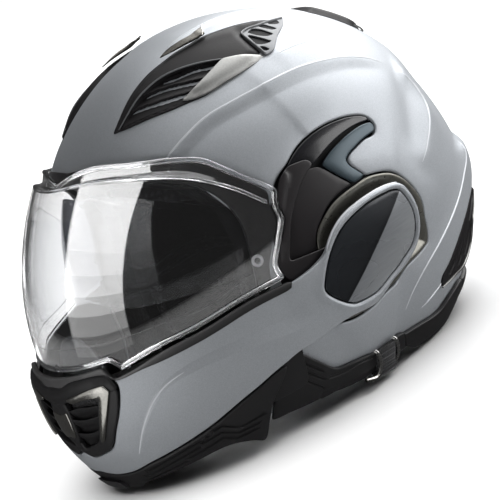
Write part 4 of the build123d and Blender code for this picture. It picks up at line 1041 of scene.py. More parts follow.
CRES = [(30.5, 49.0), (28.8, 50.3), (22.8, 54.3), (13.2, 58.3), (1.0, 60.4), (-12.7, 60.3), (-24.7, 58.1), (-33.4, 53.8), (-35.0, 51.2), (-24.4, 52.4), (-14.0, 51.9), (-2.2, 49.6), (8.6, 45.9), (14.6, 43.4), (20, 46.0)]
v, f, mi = patch(SH, dense(CRES, 1.4, True, 42), step=2.4, rim=0.8, T=2.4, base=-0.05, top=lambda q, d: 0.35 * sm(d, 0.5, 5))
pair("hinge_crescent", v, f, M["black_gloss"], SS, ("hinge_crescents", ""), "black_plastic")

RINGO = [(30.5, -1.3), (29.8, 5.2), (27.8, 9.4), (22.0, 14.2), (14.2, 18.4), (6.7, 20.3), (-2.1, 21.4), (-10.2, 22.2), (-19.7, 20.4), (-27.7, 17.3), (-34.5, 11.5), (-39.2, 2.5), (-41.6, -8.6), (-41.0, -16.6), (-40.7, -26.3), (-38.7, -32.8),
         (-30.0, -35.1), (-17.0, -37.6), (-5.8, -43.2), (7.7, -41.8), (18.7, -38.6), (27.1, -37.1), (35.0, -33.4), (33, -30), (24, -27)]
RINGI = [(14, -22), (0, -26), (-12, -21), (-17, -12), (-19, -2), (-16, 5), (-6, 7), (6, 6), (14, 1), (20, -6), (22, -16)]
ring_o = dense(RINGO, 1.4, True, 42)
ring_i = dense(RINGI, 1.6, True, 50)


def ring_top(q, d):
    do = near(q, ring_o, True)[0]
    h = -2.9 * sm(do, 0.8, 8.5)
    low = sm(-q[:, 1], 33.0, 37.0) * sm(q[:, 0], -20, -8)
    return h * (1 - 0.5 * low)


v, f, mi = patch(SH, ring_o, [ring_i], [], step=2.2, rim=0.7, T=1.8, base=0.25, top=ring_top, bottom=ring_top,
                 extra=[shrink(ring_o, k) for k in (1.2, 2.2, 3.4, 5.0, 6.8)])
pair("hinge_ring", v, f, M["titanium"], SS, ("pod_ring_left", "pod_ring_right"), "titanium")

# shield arm, from the corner of the shield down to the hub under the pod
ARMP = [(37.1, 41.9), (28.7, 46.9), (17.2, 44.9), (14.7, 40.9), (22.4, 37.4), (30.3, 31.4), (37.5, 21.8), (42.3, 9.1), (44.6, 3.0)]
hub = [(-14, 108), (-4, 117), (8, 122), (20.5, 123), (32, 117), (36, 107), (33, 97), (20.5, 91), (8, 94), (-14, 98), (-44, 97), (-48.6, 102.5), (-50.6, 113), (-43.6, 123), (-32.6, 138), (-32.6, 147), (-27.6, 156)]
arm_loop = dense(ARMP + [tuple(p) for p in VI.side(hub)], 1.8, True, 40)


def arm_top(q, d):
    # raised outer band along the shield side, a lower field behind it
    da, sa, ta = near(q, ARMLINE)
    return -0.55 * sm(-sa * da * ARM_SIDE, -0.5, 0.6) * sm(q[:, 1], 2, 8)


ARMLINE = dense([(31.5, 46.5), (30.5, 43.0), (35.5, 36.0), (42.5, 24.0), (46.5, 12.0), (49.5, 0.0)], 1.5, False, 60)
_d, _s, _t = near(np.array([[50.0, 25.0]]), ARMLINE)
ARM_SIDE = float(_s[0])
v, f, mi = patch(VI, arm_loop, [pin_hole], [ARMLINE], step=2.4, rim=0.6, T=1.45, top=arm_top, extra=rows_by(ARMLINE, (-0.6, 0.6)))
pair("shield_arm", v, f, M["brown_black"], ("visor", "visor"), ("visor_arm_left", "visor_arm_right"), "black_plastic")

# anti-fog lens pins: a ring and a dark centre at each side of the shield
c = VI.P(VI.side([(-61, 121)]), -2.9)[0]
nrm = VI.N(VI.side([(-61, 121)]))[0]
t1 = np.cross(nrm, [0, 0, 1.0]); t1 /= np.linalg.norm(t1)
t2 = np.cross(nrm, t1)
ang = np.linspace(0, 2 * math.pi, 32, endpoint=False)
vr, fr = tube([c + nrm * 0.6 + 3.0 * (math.cos(a) * t1 + math.sin(a) * t2) for a in ang], 1.0, 10, True)
pair("pin_ring", vr, fr, M["white_pin"], ("visor", "visor"), ("pinlock_pins", ""), "clear_shield")
vc = [c + nrm * 0.5] + [c + nrm * 0.3 + 2.1 * (math.cos(a) * t1 + math.sin(a) * t2) for a in ang] + [c - nrm * 0.6 + 2.1 * (math.cos(a) * t1 + math.sin(a) * t2) for a in ang] + [c - nrm * 0.6]
nn = len(ang)
fc = [(0, 1 + i, 1 + (i + 1) % nn) for i in range(nn)] + [(1 + i, 1 + nn + i, 1 + nn + (i + 1) % nn, 1 + (i + 1) % nn) for i in range(nn)] + [(2 * nn + 1, 1 + nn + (i + 1) % nn, 1 + nn + i) for i in range(nn)]
pair("pin_centre", vc, fc, M["black_gloss"], ("visor", "visor"), slot="black_plastic")

# black gasket between the shield and the chin bar's painted edge
gl = CH.side([(-48, 101), (-76, 101.5), (-110, 97.2), (-135, 94.3), (-151, 89.6)])
gn = CH.front([(57, 87.3), (50.5, 96.3), (40, 95.3), (20, 93.8), (0, 93.6), (-8, 93.6)])
gb = CH.side([(-157, 85), (-151, 86.5), (-135, 88.5), (-110, 91.5), (-76, 96), (-48, 96)])
gt = [tuple(p) for p in gl] + [tuple(p) for p in gn]
gb2 = [(222, -26), (205, -24), (185, -19), (168, -15)] + [tuple(p) for p in gb]
gasket = dense(gt + gb2, 2.0, True, 36)
v, f, mi = patch(CH, gasket, [], [], step=3.0, rim=0.9, T=3.2, base=-1.3, top=lambda q, d: 0.5 * np.exp(-((d - 1.6) / 0.9) ** 2))
piece("shield_gasket", *both(v, f, mi), M["rubber"], "chin_bar", (), "soft_rubber")

# ======================================================================= crown vents
VOUT = [(118.2, 135.5), (109.1, 143.6), (98.8, 152.8), (81.3, 163.6), (66.3, 168.6), (56.0, 169.8), (45.1, 171.5), (28.8, 171.5), (18.0, 172.1), (5.1, 169.8), (-16.4, 165.5), (-32.6, 161.1), (-49.6, 153.2)]
VLOW = [(11.4, 121.0), (24.9, 119.3), (41.8, 117.8), (52.0, 117.4), (58.1, 118.8), (63.5, 119.9), (71.2, 121.4), (89.0, 126.4), (104.5, 130.4)]
NECKV = [(-46.4, 151.2), (-35.9, 152.2), (-21.7, 151.4), (-5.4, 150.8), (-4.0, 139.5), (-3.4, 124.4)]
vent_loop = dense(VOUT + NECKV + VLOW, 1.8, True, 34)
GREY = dense([(112.2, 134.4), (98.4, 141.4), (79.9, 148.6), (65.3, 150.4), (51.5, 147.6), (39.1, 142.8), (24.0, 134.9)], 1.5, False, 60)
LOUV = [(111.4, 133.6), (98.4, 140.9), (79.9, 148.0), (65.3, 149.8), (51.5, 147.0), (39.1, 142.3), (24.3, 134.8), (44.9, 128.0), (64.0, 123.4), (72, 123.9), (89, 128.3), (104, 132.2)]
louv = dense(LOUV, 1.5, True, 45)
SL = [dense([(66.0, 148.5), (59.9, 145.9), (45.1, 142.6), (24.5, 133.6)], 1.5, False, 60), dense([(84.0, 146.6), (70.7, 142.6), (56.9, 136.6), (41.0, 128.6)], 1.5, False, 60),
      dense([(97.0, 141.0), (88.3, 138.4), (72.0, 132.3), (53.0, 124.8)], 1.5, False, 60)]
SLO = []
for ln in SL:
    _d, _s, _t = near(np.array([[60.0, 100.0]]), ln)
    SLO.append(float(_s[0]))
vlow_line = dense([(44.9, 126.5), (64.3, 122.0), (72, 122.5), (89, 127.0), (104, 131.0), (111.4, 133.4)], 2.0, False, 60)
MIDC = dense([(20, 160), (16.6, 158.9), (6.8, 156.1), (-4.2, 151.2)], 2.0, False, 60)


def vent_top(q, d):
    # roof: rises from the inner edge and from the tips
    h = 0.6 + 3.1 * sm(d, 0, 9.0) * sm(118.5 - q[:, 0], 0, 34)
    h *= 1 - 0.65 * sm(-q[:, 0], 0, 42)
    dm, s_, tm = near(q, MIDC)
    h += 0.35 * np.exp(-(dm / 4.0) ** 2) * (q[:, 0] < 30)
    h = np.minimum(h, 4.1)
    inl = inside(louv, q)
    dl = near(q, louv, True)[0]
    # louvres: each blade starts deep under the one above and climbs to its own lip
    up = near(q, GREY)[0]
    dist = [up]
    below = [np.ones(len(q), bool)]
    for ln, o in zip(SL, SLO):
        dd, ss, tt = near(q, ln)
        dist.append(dd)
        below.append(ss * o > 0)
    dlow = near(q, vlow_line)[0]
    idx = np.zeros(len(q), int)
    for k in (1, 2, 3):
        idx = np.where(below[k], k, idx)
    dist.append(dlow)
    D = np.array(dist)
    above = D[idx, np.arange(len(q))]
    nxt = D[np.minimum(idx + 1, 4), np.arange(len(q))]
    s = np.clip((above - 1.6) / np.maximum(above - 1.6 + nxt, 0.5), 0, 1)
    lip_h = np.array([2.9, 2.5, 2.1, 1.5])[idx]
    lh = 0.15 + (lip_h - 0.15) * sm(s, 0, 1.0)
    k = sm(dl, 0.0, 0.7)
    lip_edge = np.where(inl, h * (1 - k) + lh * k, h)
    # lower border beside the louvres is low
    low = np.exp(-(dlow / 3.5) ** 2) * (~inl)
    return lip_edge * (1 - low) + 1.5 * low * np.minimum(1, 0.4 + d)


ex = [shrink(louv, 0.7), shrink(louv, 0.35), offset_line(GREY, 0.8), offset_line(GREY, -0.8)]
for ln in SL:
    ex += rows_by(ln, (-0.45, 0.45, -1.7, 1.7))
v, f, mi = patch(SH, vent_loop, [], [louv] + SL, step=2.2, rim=0.8, T=0.5, base=0.0, top=vent_top, extra=ex, bottom=lambda q, d: 0.5)
pair("vent_scoop", v, f, M["black_soft"], SS, ("top_vent_housing_left", "top_vent_housing_right"), "black_plastic", smooth=28)

gp = SH.P(GREY) + SH.N(GREY) * (np.minimum(0.9 + 3.1 * sm(118.5 - GREY[:, 0], 0, 34), 4.1))[:, None]
vr, fr = tube(gp, 0.25 + 0.35 * np.sin(np.pi * np.clip(np.linspace(0.02, 0.98, len(gp)), 0, 1)) ** 0.5, 8)
pair("vent_edge_line", vr, fr, M["grey_frame"], SS, slot="silver_trim")

BLADE = [(24.4, 135.8), (13.1, 131.2), (-3.0, 123.6), (10.3, 120.2), (21.0, 118.9), (33.3, 118.3), (45.7, 117.6), (52.2, 118.2), (60.2, 120.8), (64.6, 123.6), (44.9, 128.6)]
blade = dense(BLADE, 1.4, True, 38)
blow = dense([(-3.0, 122.0), (10.3, 119.2), (21.0, 118.0), (33.3, 117.4), (45.7, 116.8), (53, 117.6), (62, 121)], 2, False, 60)
v, f, mi = patch(SH, blade, [], step=2.0, rim=0.5, T=1.0, base=0.0, top=lambda q, d: 2.2 + 2.1 * sm(near(q, blow)[0], 0, 13) - 1.0 * sm(-q[:, 0], -14, 4), bottom=lambda q, d: 2.2 + 2.1 * sm(near(q, blow)[0], 0, 13) - 1.0 * sm(-q[:, 0], -14, 4))
pair("vent_blade", v, f, M["silver"], SS, ("top_vent_blade_left", "top_vent_blade_right"), "silver_trim")

GRILL = [(-49.4, 152.0), (-35.9, 153.8), (-21.7, 153.0), (-3.6, 152.6), (-1.6, 139.5), (-1.4, 122.2), (-8.3, 122.8), (-16.2, 128.4), (-24.1, 134.6), (-33, 139.6), (-42.6, 145.6)]
gaps = [[(-31.8, 151.9), (-41.2, 151.6), (-39.4, 147.4), (-36.4, 146.7), (-31.1, 149.2)], [(-21.2, 151.3), (-26.3, 151.6), (-27.8, 148.4), (-30.3, 141.8), (-26.0, 142.2), (-23.1, 146.3)],
        [(-8.9, 148.8), (-14.6, 150.9), (-17.2, 149.0), (-22.3, 137.8), (-17.4, 137.7), (-12.2, 141.4)], [(-5.6, 145.4), (-7.5, 144.9), (-10.0, 140.6), (-14.8, 131.6), (-9.3, 131.6), (-4.1, 134.4)],
        [(-4.0, 131.0), (-6.7, 129.3), (-7.6, 125.2), (-4.7, 125.3), (-3.5, 126.6)]]
gl_ = []
for g in gaps:
    g = np.array(g)
    gl_.append(dense(g.mean(0) + (g - g.mean(0)) * 1.07, 1.2, True, 40, 1))
gr = dense(GRILL, 1.6, True, 42)
v, f, mi = patch(SH, gr, gl_, step=2.0, rim=0.3, T=1.2, base=1.5, top=lambda q, d: shell_top(q, d) - 0.9 * sm(-q[:, 0], 2, 44), bottom=lambda q, d: shell_top(q, d) - 0.4 * sm(-q[:, 0], 2, 44))
pair("vent_grille", v, f, M["grey_frame"], SS, ("top_vent_grille_left", "top_vent_grille_right"), "silver_trim")
# floor under the grille's gaps, in the void finish: painted shade
v, f, mi = patch(SH, shrink(gr, 0.9), [], step=2.4, rim=0.2, T=0.25, base=0.0, top=lambda q, d: shell_top(q, d) + 0.2, bottom=lambda q, d: shell_top(q, d) + 0.2)
pair("vent_grille_floor", v, f, M["dark_void"], SS, slot="black_plastic")
vfr = dense([(-48.6, 152.4), (-35.9, 153.0), (-21.7, 152.4), (-6.5, 151.9), (-3.6, 150.4), (-2.6, 139.5), (-2.4, 123.4)], 1.5, False, 45)
hv = 1.75 - 1.0 * sm(-vfr[:, 0], 2, 44) + shell_top(vfr, None)
vr, fr = tube(SH.P(vfr) + SH.N(vfr) * hv[:, None], 0.8, 8)
pair("vent_grille_frame", vr, fr, M["grey_frame"], SS, slot="silver_trim")

SLID = [(56.6, 167.6), (50.1, 170.6), (36.7, 171.6), (25.0, 171.2), (16.6, 173.2), (12.0, 174.6), (15.0, 170.6), (17.4, 164.6), (24.1, 163.9), (37.4, 164.7), (46.5, 165.6)]
slid = dense(SLID, 1.2, True, 42)
v, f, mi = patch(SH, slid, [], step=1.8, rim=0.6, T=1.5, base=6.6, top=lambda q, d: -0.8 * sm(q[:, 0], 30, 56) + 0.3 * np.exp(-((q[:, 0] - 20) / 3.0) ** 2))
pair("vent_slider", v, f, M["slider"], ("vent_slider_left", "vent_slider_right"), ("top_vent_slider_left", "top_vent_slider_right"), "titanium")
sl2 = np.array([(20.5, 163.6), (17.5, 166.5), (15.6, 170.5), (11.6, 175.0)])
sl2 = dense(sl2, 1.0, False, 60)
vr, fr = tube(SH.P(sl2) + SH.N(sl2) * 6.5, np.linspace(0.3, 0.6, len(sl2)), 8)
pair("vent_slider_line", vr, fr, M["chrome"], ("vent_slider_left", "vent_slider_right"), slot="silver_trim")

# ======================================================================= skirts and lower trims
SK = Form(R_SHELL, 120.5, 3.2)
SKT = [(57.6, -40.0), (52.0, -47.0), (43.6, -58.7), (31.1, -61.9), (18.7, -70.5), (9.9, -77.3), (-4.8, -84.5), (-24.0, -86.9), (-44.0, -86.6)]
skirt_back = SK.side([(64, 19), (80, 23.5), (98.5, 25.5), (99.6, 25), (99.6, 1.2)])
skirt_low = SK.side([(90, 0.6), (56, 2.3), (40, 4.4)])
SKL = [(-6.7, -98.4), (1.6, -97.6), (20.7, -88.5), (31.7, -81.0), (49.5, -73.8), (64.3, -73.0), (77.0, -73.4), (86.0, -75.5), (75.4, -53.4), (65.2, -42.6)]
skirt_loop = dense(SKT[:7] + [tuple(p) for p in SK.side([(26, 22.2), (45, 20.4)])] + [tuple(p) for p in skirt_back] + [tuple(p) for p in skirt_low] + SKL, 2.0, True, 36)
chev = [dense([(51.2, -55.0), (59.4, -44.8), (63.2, -46.4)], 1.2, False, 30, 0), dense([(51.8, -60.4), (61.4, -48.4), (66.6, -51.2)], 1.2, False, 30, 0), dense([(53.6, -65.2), (63.4, -52.8), (70.2, -56.8)], 1.2, False, 30, 0)]
bevel = dense([(80, -71.2), (69.9, -70.6), (49.7, -67.6), (34.0, -70.6), (20.0, -80.0), (6, -90.0)], 2.0, False, 60)
grooves_s = [dense([(47.4, -61.6), (40, -63.2), (32.1, -64.0), (24, -68.6)], 1.5, False, 60), dense([(-4.4, -84.9), (-6.2, -97.4)], 1.2, False, 60)]
_d, _s, _t = near(np.array([[60.0, -82.0]]), bevel)
BEV = float(_s[0])


def groove(q, line, width, depth, fade=0.0):
    d, s, t = near(q, line)
    end = 1.0 if not fade else sm(t, 0, fade) * (1 - sm(t, 1 - fade, 1))
    return -depth * (1 - sm(d, width * 0.5, width * 0.5 + 0.35)) * end


def skirt_top(q, d):
    h = np.zeros(len(q))
    for ln in chev:
        h += groove(q, ln, 1.1, 1.0)
    h += groove(q, grooves_s[0], 0.9, 0.7) + groove(q, grooves_s[1], 0.6, 0.8)
    db, sb, tb = near(q, bevel)
    below = np.where(sb * BEV > 0, db, 0)
    h -= 0.30 * below * (1 - sm(tb, 0.9, 1)) * (q[:, 0] > 2)
    return np.maximum(h, -2.6)


exs = []
for ln in chev + grooves_s:
    exs += rows_by(ln, (-0.95, -0.5, 0.5, 0.95))
v, f, mi = patch(SK, skirt_loop, [], chev + grooves_s + [bevel], step=2.6, rim=0.9, T=3.0, top=skirt_top, extra=exs)
pair("side_skirt_outer", v, f, M["black"], SS, ("side_skirt_left", "side_skirt_right"), "black_plastic", smooth=30)

nb = [tuple(p) for p in SK.side([(100.4, 1.2), (100.4, 24.8)])] + [tuple(p) for p in SK.back([(60, 23.0), (45, 21.8), (20, 21.0), (0, 21.0), (-12, 21.0)])] + [tuple(p) for p in SK.back([(-12, 1.5), (0, 1.5), (20, 1.5), (45, 1.2), (60, 1.0)])]
neck_loop = dense(nb, 2.4, True, 38)
v, f, mi = patch(SK, neck_loop, [], [], step=3.2, rim=1.0, T=3.0, top=lambda q, d: 0.5 * sm(d, 1, 6))
piece("rear_neck_edge", *both(v, f, mi), M["black"], "shell", "rear_neck_trim", "black_plastic")

TRIM_LOW = [(222, -117), (200, -112), (181.6, -106.0), (170.3, -100.6), (164.2, -93.2), (147.2, -83.2), (122.5, -73.2), (101.6, -68.1), (91.5, -70.6), (86.9, -74.6), (84.9, -71.0), (80.4, -62.2), (74.9, -52.1), (65.0, -41.6)]
trim_loop = dense([(60.6, -36.2)] + [(x, y - 0.8) for x, y in LOW[2:]] + TRIM_LOW, 2.0, True, 36)
GRV = [dense(g, 1.3, False, 30, 0) for g in ([(107.5, -54.9), (102.1, -53.2), (93.8, -57.4), (81.0, -54.9)], [(115.4, -60.4), (103.7, -56.8), (95.8, -60.3), (84.7, -58.9)], [(124.7, -68.0), (104.4, -60.3), (98.1, -63.5), (88.1, -62.2)],
                                              [(155.2, -76.0), (132.0, -64.8), (111.6, -57.1)], [(157.5, -80.9), (136.4, -70.0), (118.1, -62.4)], [(158.9, -86.3), (145.1, -78.4), (129.9, -71.4)])]


def trim_top(q, d):
    h = np.zeros(len(q))
    for g in GRV:
        h += groove(q, g, 1.3, 1.3)
    dn = near(q, np.array(TRIM_LOW[:10][::-1], float))[0]
    h -= 1.6 * (1 - sm(dn, 0, 5.5))
    return np.maximum(h, -3.2)


exs = []
for ln in GRV:
    exs += rows_by(ln, (-1.05, -0.6, 0.6, 1.05))
v, f, mi = patch(CH, trim_loop, [], GRV, step=2.6, rim=0.9, T=4.4, base=0.35, top=trim_top, extra=exs)
piece("chin_lower_edge", *both(v, f, mi), M["black"], "chin_bar", "chin_lower_trim", "black_plastic", smooth=30)

# ======================================================================= chin vent
V_TOP = [(200.6, -27.6), (193.0, -25.0), (174.6, -20.0), (164.9, -18.4), (160.0, -22.2), (165.0, -33.8), (174.9, -53.1), (177.1, -54.2), (178.6, -53.4), (171.6, -33.6), (169.0, -25.6), (181.5, -26.6), (198.1, -28.9)]
cap_poly = [(222, -21.5), (205, -20.5)] + [tuple(p) for p in np.array([(197.4, -17.0), (182.1, -14.2), (170, -13.2), (161.0, -13.8), (154.6, -21.6), (158.5, -24.5), (163.0, -22.0), (174.6, -23.0), (188.0, -25.5), (200.5, -29.4), (209, -32.3), (217.4, -35.2), (222, -36.6)])]
v, f, mi = patch(CH, dense(cap_poly, 1.8, True, 36), [], [], step=2.6, rim=1.2, T=3.6, base=0.2, top=lambda q, d: 1.5 * sm(d, 0.0, 5.0))
piece("chin_vent_beak", *both(v, f, mi), M["black"], "chin_bar", "chin_vent_cap", "black_plastic")

FR_O = [(222, -32), (205, -26), (182, -18), (162, -16), (155.0, -23.4), (156.0, -28), (159.0, -36.3), (165.5, -47), (172.2, -58.0), (183.5, -65.6), (195.0, -72.2), (207, -69.4), (222, -69.0)]
FR_I = [(222, -46), (207.5, -32.5), (199.0, -29.6), (183, -26.6), (171.5, -26.0), (173.6, -33.5), (177.5, -46), (181.6, -54.5), (190.5, -60.8), (199.6, -66.6), (203.0, -62.5), (205.5, -58.5), (222, -58)]
fo, fi_ = dense(FR_O, 1.8, True, 36), dense(FR_I, 1.8, True, 36)
v, f, mi = patch(CH, fo, [fi_], [], step=2.4, rim=0.9, T=3.8, base=0.15, top=lambda q, d: -1.6 * sm(-q[:, 1], 54, 66) * sm(near(q, fo, True)[0], 1, 8))
piece("chin_vent_surround", *both(v, f, mi), M["black"], "chin_bar", "chin_vent_bar", "black_plastic")

floor_loop = dense([(222, -48), (206, -31.0), (199.0, -28.4), (182, -25.0), (169.5, -24.6), (172.0, -35), (176.0, -48), (180.5, -56), (190, -62.5), (199.6, -68), (205, -64), (207, -60), (222, -60)], 2.0, True, 36)
v, f, mi = patch(CH, floor_loop, [], [], step=3.0, rim=0.3, T=0.8, base=-5.4)
piece("chin_vent_net", *both(v, f, mi), M["net"], "chin_bar", "chin_vent_mesh", "black_plastic")

# slanting fins between the three meshed slots
FINS = [[(206, -33.4), (203.4, -37.2), (191.5, -33.0), (184, -32.2), (173.6, -30.6), (172.4, -35.6), (180.8, -38.6), (189.2, -41.6), (204.6, -46.0), (207.4, -38)],
        [(204.6, -43.0), (189.0, -41.0), (181.0, -38.8), (174.6, -37.2), (176.4, -44.8), (181.2, -48.2), (186.6, -50.4), (203.8, -57.0)],
        [(203.8, -53.6), (186.8, -50.2), (181.4, -48.2), (177.6, -46.0), (181.6, -55.0), (190, -61.2), (199.8, -67.0), (204.4, -61)]]
FIN_UP = [[(203.4, -36.2), (191.5, -32.2), (184, -31.0), (173.6, -29.6)], [(204.6, -44.6), (189.2, -40.6), (180.8, -38.0), (174.2, -36.0)], [(203.8, -54.6), (186.8, -49.8), (181.3, -47.6), (177.0, -45.6)]]
B = Build()
for k, (o, u) in enumerate(zip(FINS, FIN_UP)):
    lp = dense(o, 1.5, True, 40)
    ul = dense(u, 1.5, False, 60)
    v, f, mi = patch(CH, lp, [], [], step=2.0, rim=0.3, T=0.9, base=-4.6, top=lambda q, d: 3.4 * (1 - sm(near(q, ul)[0], 0, 8.5)), bottom=lambda q, d: 3.4 * (1 - sm(near(q, ul)[0], 0, 8.5)))
    B.add(v, f)
v, f = B.data()
pair("chin_vent_fins", v, f, M["black"], ("chin_bar", "chin_bar"), slot="black_plastic")

v, f, mi = patch(CH, dense(V_TOP, 1.2, True, 36), [], [dense([(200.0, -28.2), (181.5, -22.8), (164.6, -20.4), (166.0, -28.0), (171.0, -41), (177.2, -53.6)], 1.5, False, 36)], step=1.6, rim=0.7, T=3.6, base=1.7, top=lambda q, d: 0.35 * sm(d, 0.3, 2.5))
pair("chin_vent_v", v, f, M["chrome"], ("chin_bar", "chin_bar"), ("chin_vent_trim", ""), "silver_trim", smooth=26)

beak = [tuple(p) for p in CH.front([(-12, 66.5), (-6, 69.0), (0, 68.4), (6, 69.4), (9.6, 71.0), (9.9, 66.0), (9.2, 59.0), (7.0, 52.6), (4.6, 50.8), (0, 51.6), (-12, 55)])]
v, f, mi = patch(CH, dense(beak, 1.4, True, 36), [], [], step=1.8, rim=0.8, T=3.4, base=0.6, top=lambda q, d: 0.8 * sm(d, 0.3, 5))
piece("chin_vent_nose", *both(v, f, mi), M["chrome"], "chin_bar", (), "silver_trim")
bar = [tuple(p) for p in CH.front([(-12, 76.5), (0, 76.0), (9.5, 77.6), (11.2, 73.0), (11.4, 66.0), (10.6, 57.0), (7.6, 49.6), (4.6, 46.0), (4.0, 38.0), (-12, 38.0)])]
v, f, mi = patch(CH, dense(bar, 1.6, True, 36), [], [], step=2.2, rim=0.7, T=4.0, base=-0.6, top=lambda q, d: 0.5 * sm(d, 0.3, 3))
piece("chin_vent_centre", *both(v, f, mi), M["black"], "chin_bar", (), "black_plastic")

# ======================================================================= rear vents
OO = [(-133, -36.4), (-124, -44), (-112.4, -50.8), (-109.6, -69.3), (-92, -76.0), (-66, -73.2), (-47.9, -72.2), (-50.6, -64.6), (-60.9, -60.2), (-72.7, -52.8), (-87.9, -44.5), (-113.4, -34.9), (-126, -32.0)]
out_loop = dense(OO, 1.8, True, 36)
slits = [dense([(-60, -67.5), (-73, -61.5), (-84, -54.0)], 1.6, False, 60), dense([(-75, -69.5), (-88, -62.5), (-98, -54.5)], 1.6, False, 60), dense([(-90, -69.5), (-101, -62.5), (-108, -54.0)], 1.6, False, 60), dense([(-104, -48.0), (-116, -41.5), (-124, -38.0)], 1.6, False, 60)]


def out_top(q, d):
    h = 1.6 + 1.2 * sm(near(q, np.array(OO[:7], float))[0], 0, 10) * -1 + 0.0 * d
    for s in slits:
        h += groove(q, s, 3.0, 1.1)
    return np.maximum(h, 0.15)


exs = []
for ln in slits:
    exs += rows_by(ln, (-2.0, -1.45, 1.45, 2.0))
v, f, mi = patch(SH, out_loop, [], slits, step=2.2, rim=0.5, T=0.5, base=0.2, top=out_top, bottom=lambda q, d: 0.3, extra=exs)
pair("rear_outlet_grille", v, f, M["black_soft"], SS, ("rear_outlet_left", "rear_outlet_right"), "black_plastic")
oe = dense([(-132.6, -36.8), (-124, -44.4), (-112.9, -51.2), (-110.4, -60), (-109.6, -69.6), (-100, -74.0), (-92, -76.4), (-66, -73.8), (-48.5, -72.6)], 1.6, False, 40)
vr, fr = tube(SH.P(oe) + SH.N(oe) * 1.7, 0.35 + 0.75 * np.sin(np.pi * np.linspace(0.06, 0.94, len(oe))) ** 0.6, 8)
pair("rear_outlet_edge", vr, fr, M["silver"], SS, slot="silver_trim")

rp = [tuple(p) for p in SH.plan([(-12, 103), (0, 102.5), (14, 101.5), (34, 95.5), (37, 108), (39.5, 121.5), (34, 129), (26, 135.5), (0, 136.5), (-12, 136.5)])]
rear_loop = dense(rp, 2.0, True, 36)
rs = [dense([tuple(p) for p in SH.plan([(x, 110), (x, 128)])], 1.5, False, 60) for x in (0.0, 9.0, 18.0, 27.0)]


def rear_top(q, d):
    h = 0.5 + 3.6 * sm(d, 0.0, 7.0)
    for s in rs:
        h += groove(q, s, 4.4, 2.6)
    return h


exs = []
for ln in rs[1:]:
    exs += rows_by(ln, (-2.7, -2.15, 2.15, 2.7))
exs += rows_by(rs[0], (2.15, 2.7, -2.15, -2.7))
v, f, mi = patch(SH, rear_loop, [], rs[1:], step=2.4, rim=0.8, T=0.5, base=0.1, top=rear_top, bottom=lambda q, d: 0.4, extra=exs)
piece("rear_exhaust_cover", *both(v, f, mi), M["black_soft"], "shell", "rear_exhaust_vent", "black_plastic")
re_ = dense([tuple(p) for p in SH.plan([(0, 137.0), (14, 136.8), (26.4, 136.0), (34.6, 129.4), (40.2, 121.6)])], 1.8, False, 40)
vh, fh = tube(SH.P(re_) + SH.N(re_) * 1.8, np.linspace(1.0, 0.5, len(re_)), 8)
B = Build().add(vh, fh)
B.add(*mirrored(vh, fh))
piece("rear_exhaust_edge", *B.data(), M["silver"], "shell", (), "silver_trim")

# ======================================================================= breath guard, strap, rings
bgp = [tuple(p) for p in CH.front([(-14, 82), (0, 82), (36, 80), (40, 90), (34, 101), (20, 112), (0, 117), (-14, 115)])]
v, f, mi = patch(CH, dense(bgp, 2.2, True, 40), [], [], step=3.0, rim=1.0, T=2.0, base=-20.6, top=lambda q, d: 0.8 * np.exp(-((d - 2.6) / 1.4) ** 2) - 0.4 * sm(d, 4, 8))
piece("breath_guard_soft", *both(v, f, mi), M["guard"], "chin_bar", "breath_guard", "soft_rubber")

# strap ends: flat webbing with rolled edges, sagging a little between its fixings
def band(path_xz, y0, half, thick, ripple):
    p = dense(np.array(path_xz, float), 2.0, False, 80, 3)
    n = len(p)
    t = np.gradient(p, axis=0)
    t /= np.linalg.norm(t, axis=1, keepdims=True)
    nrm_ = np.stack([-t[:, 1], np.zeros(n), t[:, 0]], 1)
    pts = np.stack([p[:, 0], np.full(n, y0), p[:, 1]], 1)
    s = np.linspace(0, 1, n)
    pts = pts + nrm_ * (ripple * np.sin(s * 19.0))[:, None]
    w = np.tile([0.0, 1.0, 0.0], (n, 1)) + np.stack([0.04 * np.sin(s * 11), np.zeros(n), 0.05 * np.cos(s * 7)], 1)
    return strip(pts, nrm_, w, half, thick, 0.8)


ys = 8.0 + YS
v, f = band([(80.2, 62), (78.0, 50), (75.5, 40), (71.2, 27.8), (59.6, 17.9), (38, 11.0), (18, 7.8)], ys, 9.6, 0.85, 0.12)
piece("strap_band_left", v, f, M["webbing"], "shell", "strap_left", "webbing")
v, f = band([(-80.2, 62), (-78.0, 50), (-75.5, 40), (-71.2, 27.8), (-59.6, 17.9), (-38, 11.0), (-11, 7.8)], ys, 9.6, 0.85, 0.12)
piece("strap_band_right", v, f, M["webbing"], "shell", "strap_right", "webbing")

# strap tail folded up over the lower edge on the left, with two bent wire hoops and a small lever
def tail_point(y, z, off):
    q = SK.side([(y, max(z, 8.0))])
    P = SK.P(q)[0] + SK.N(q)[0] * off
    return np.array([P[0], y + YS, z])


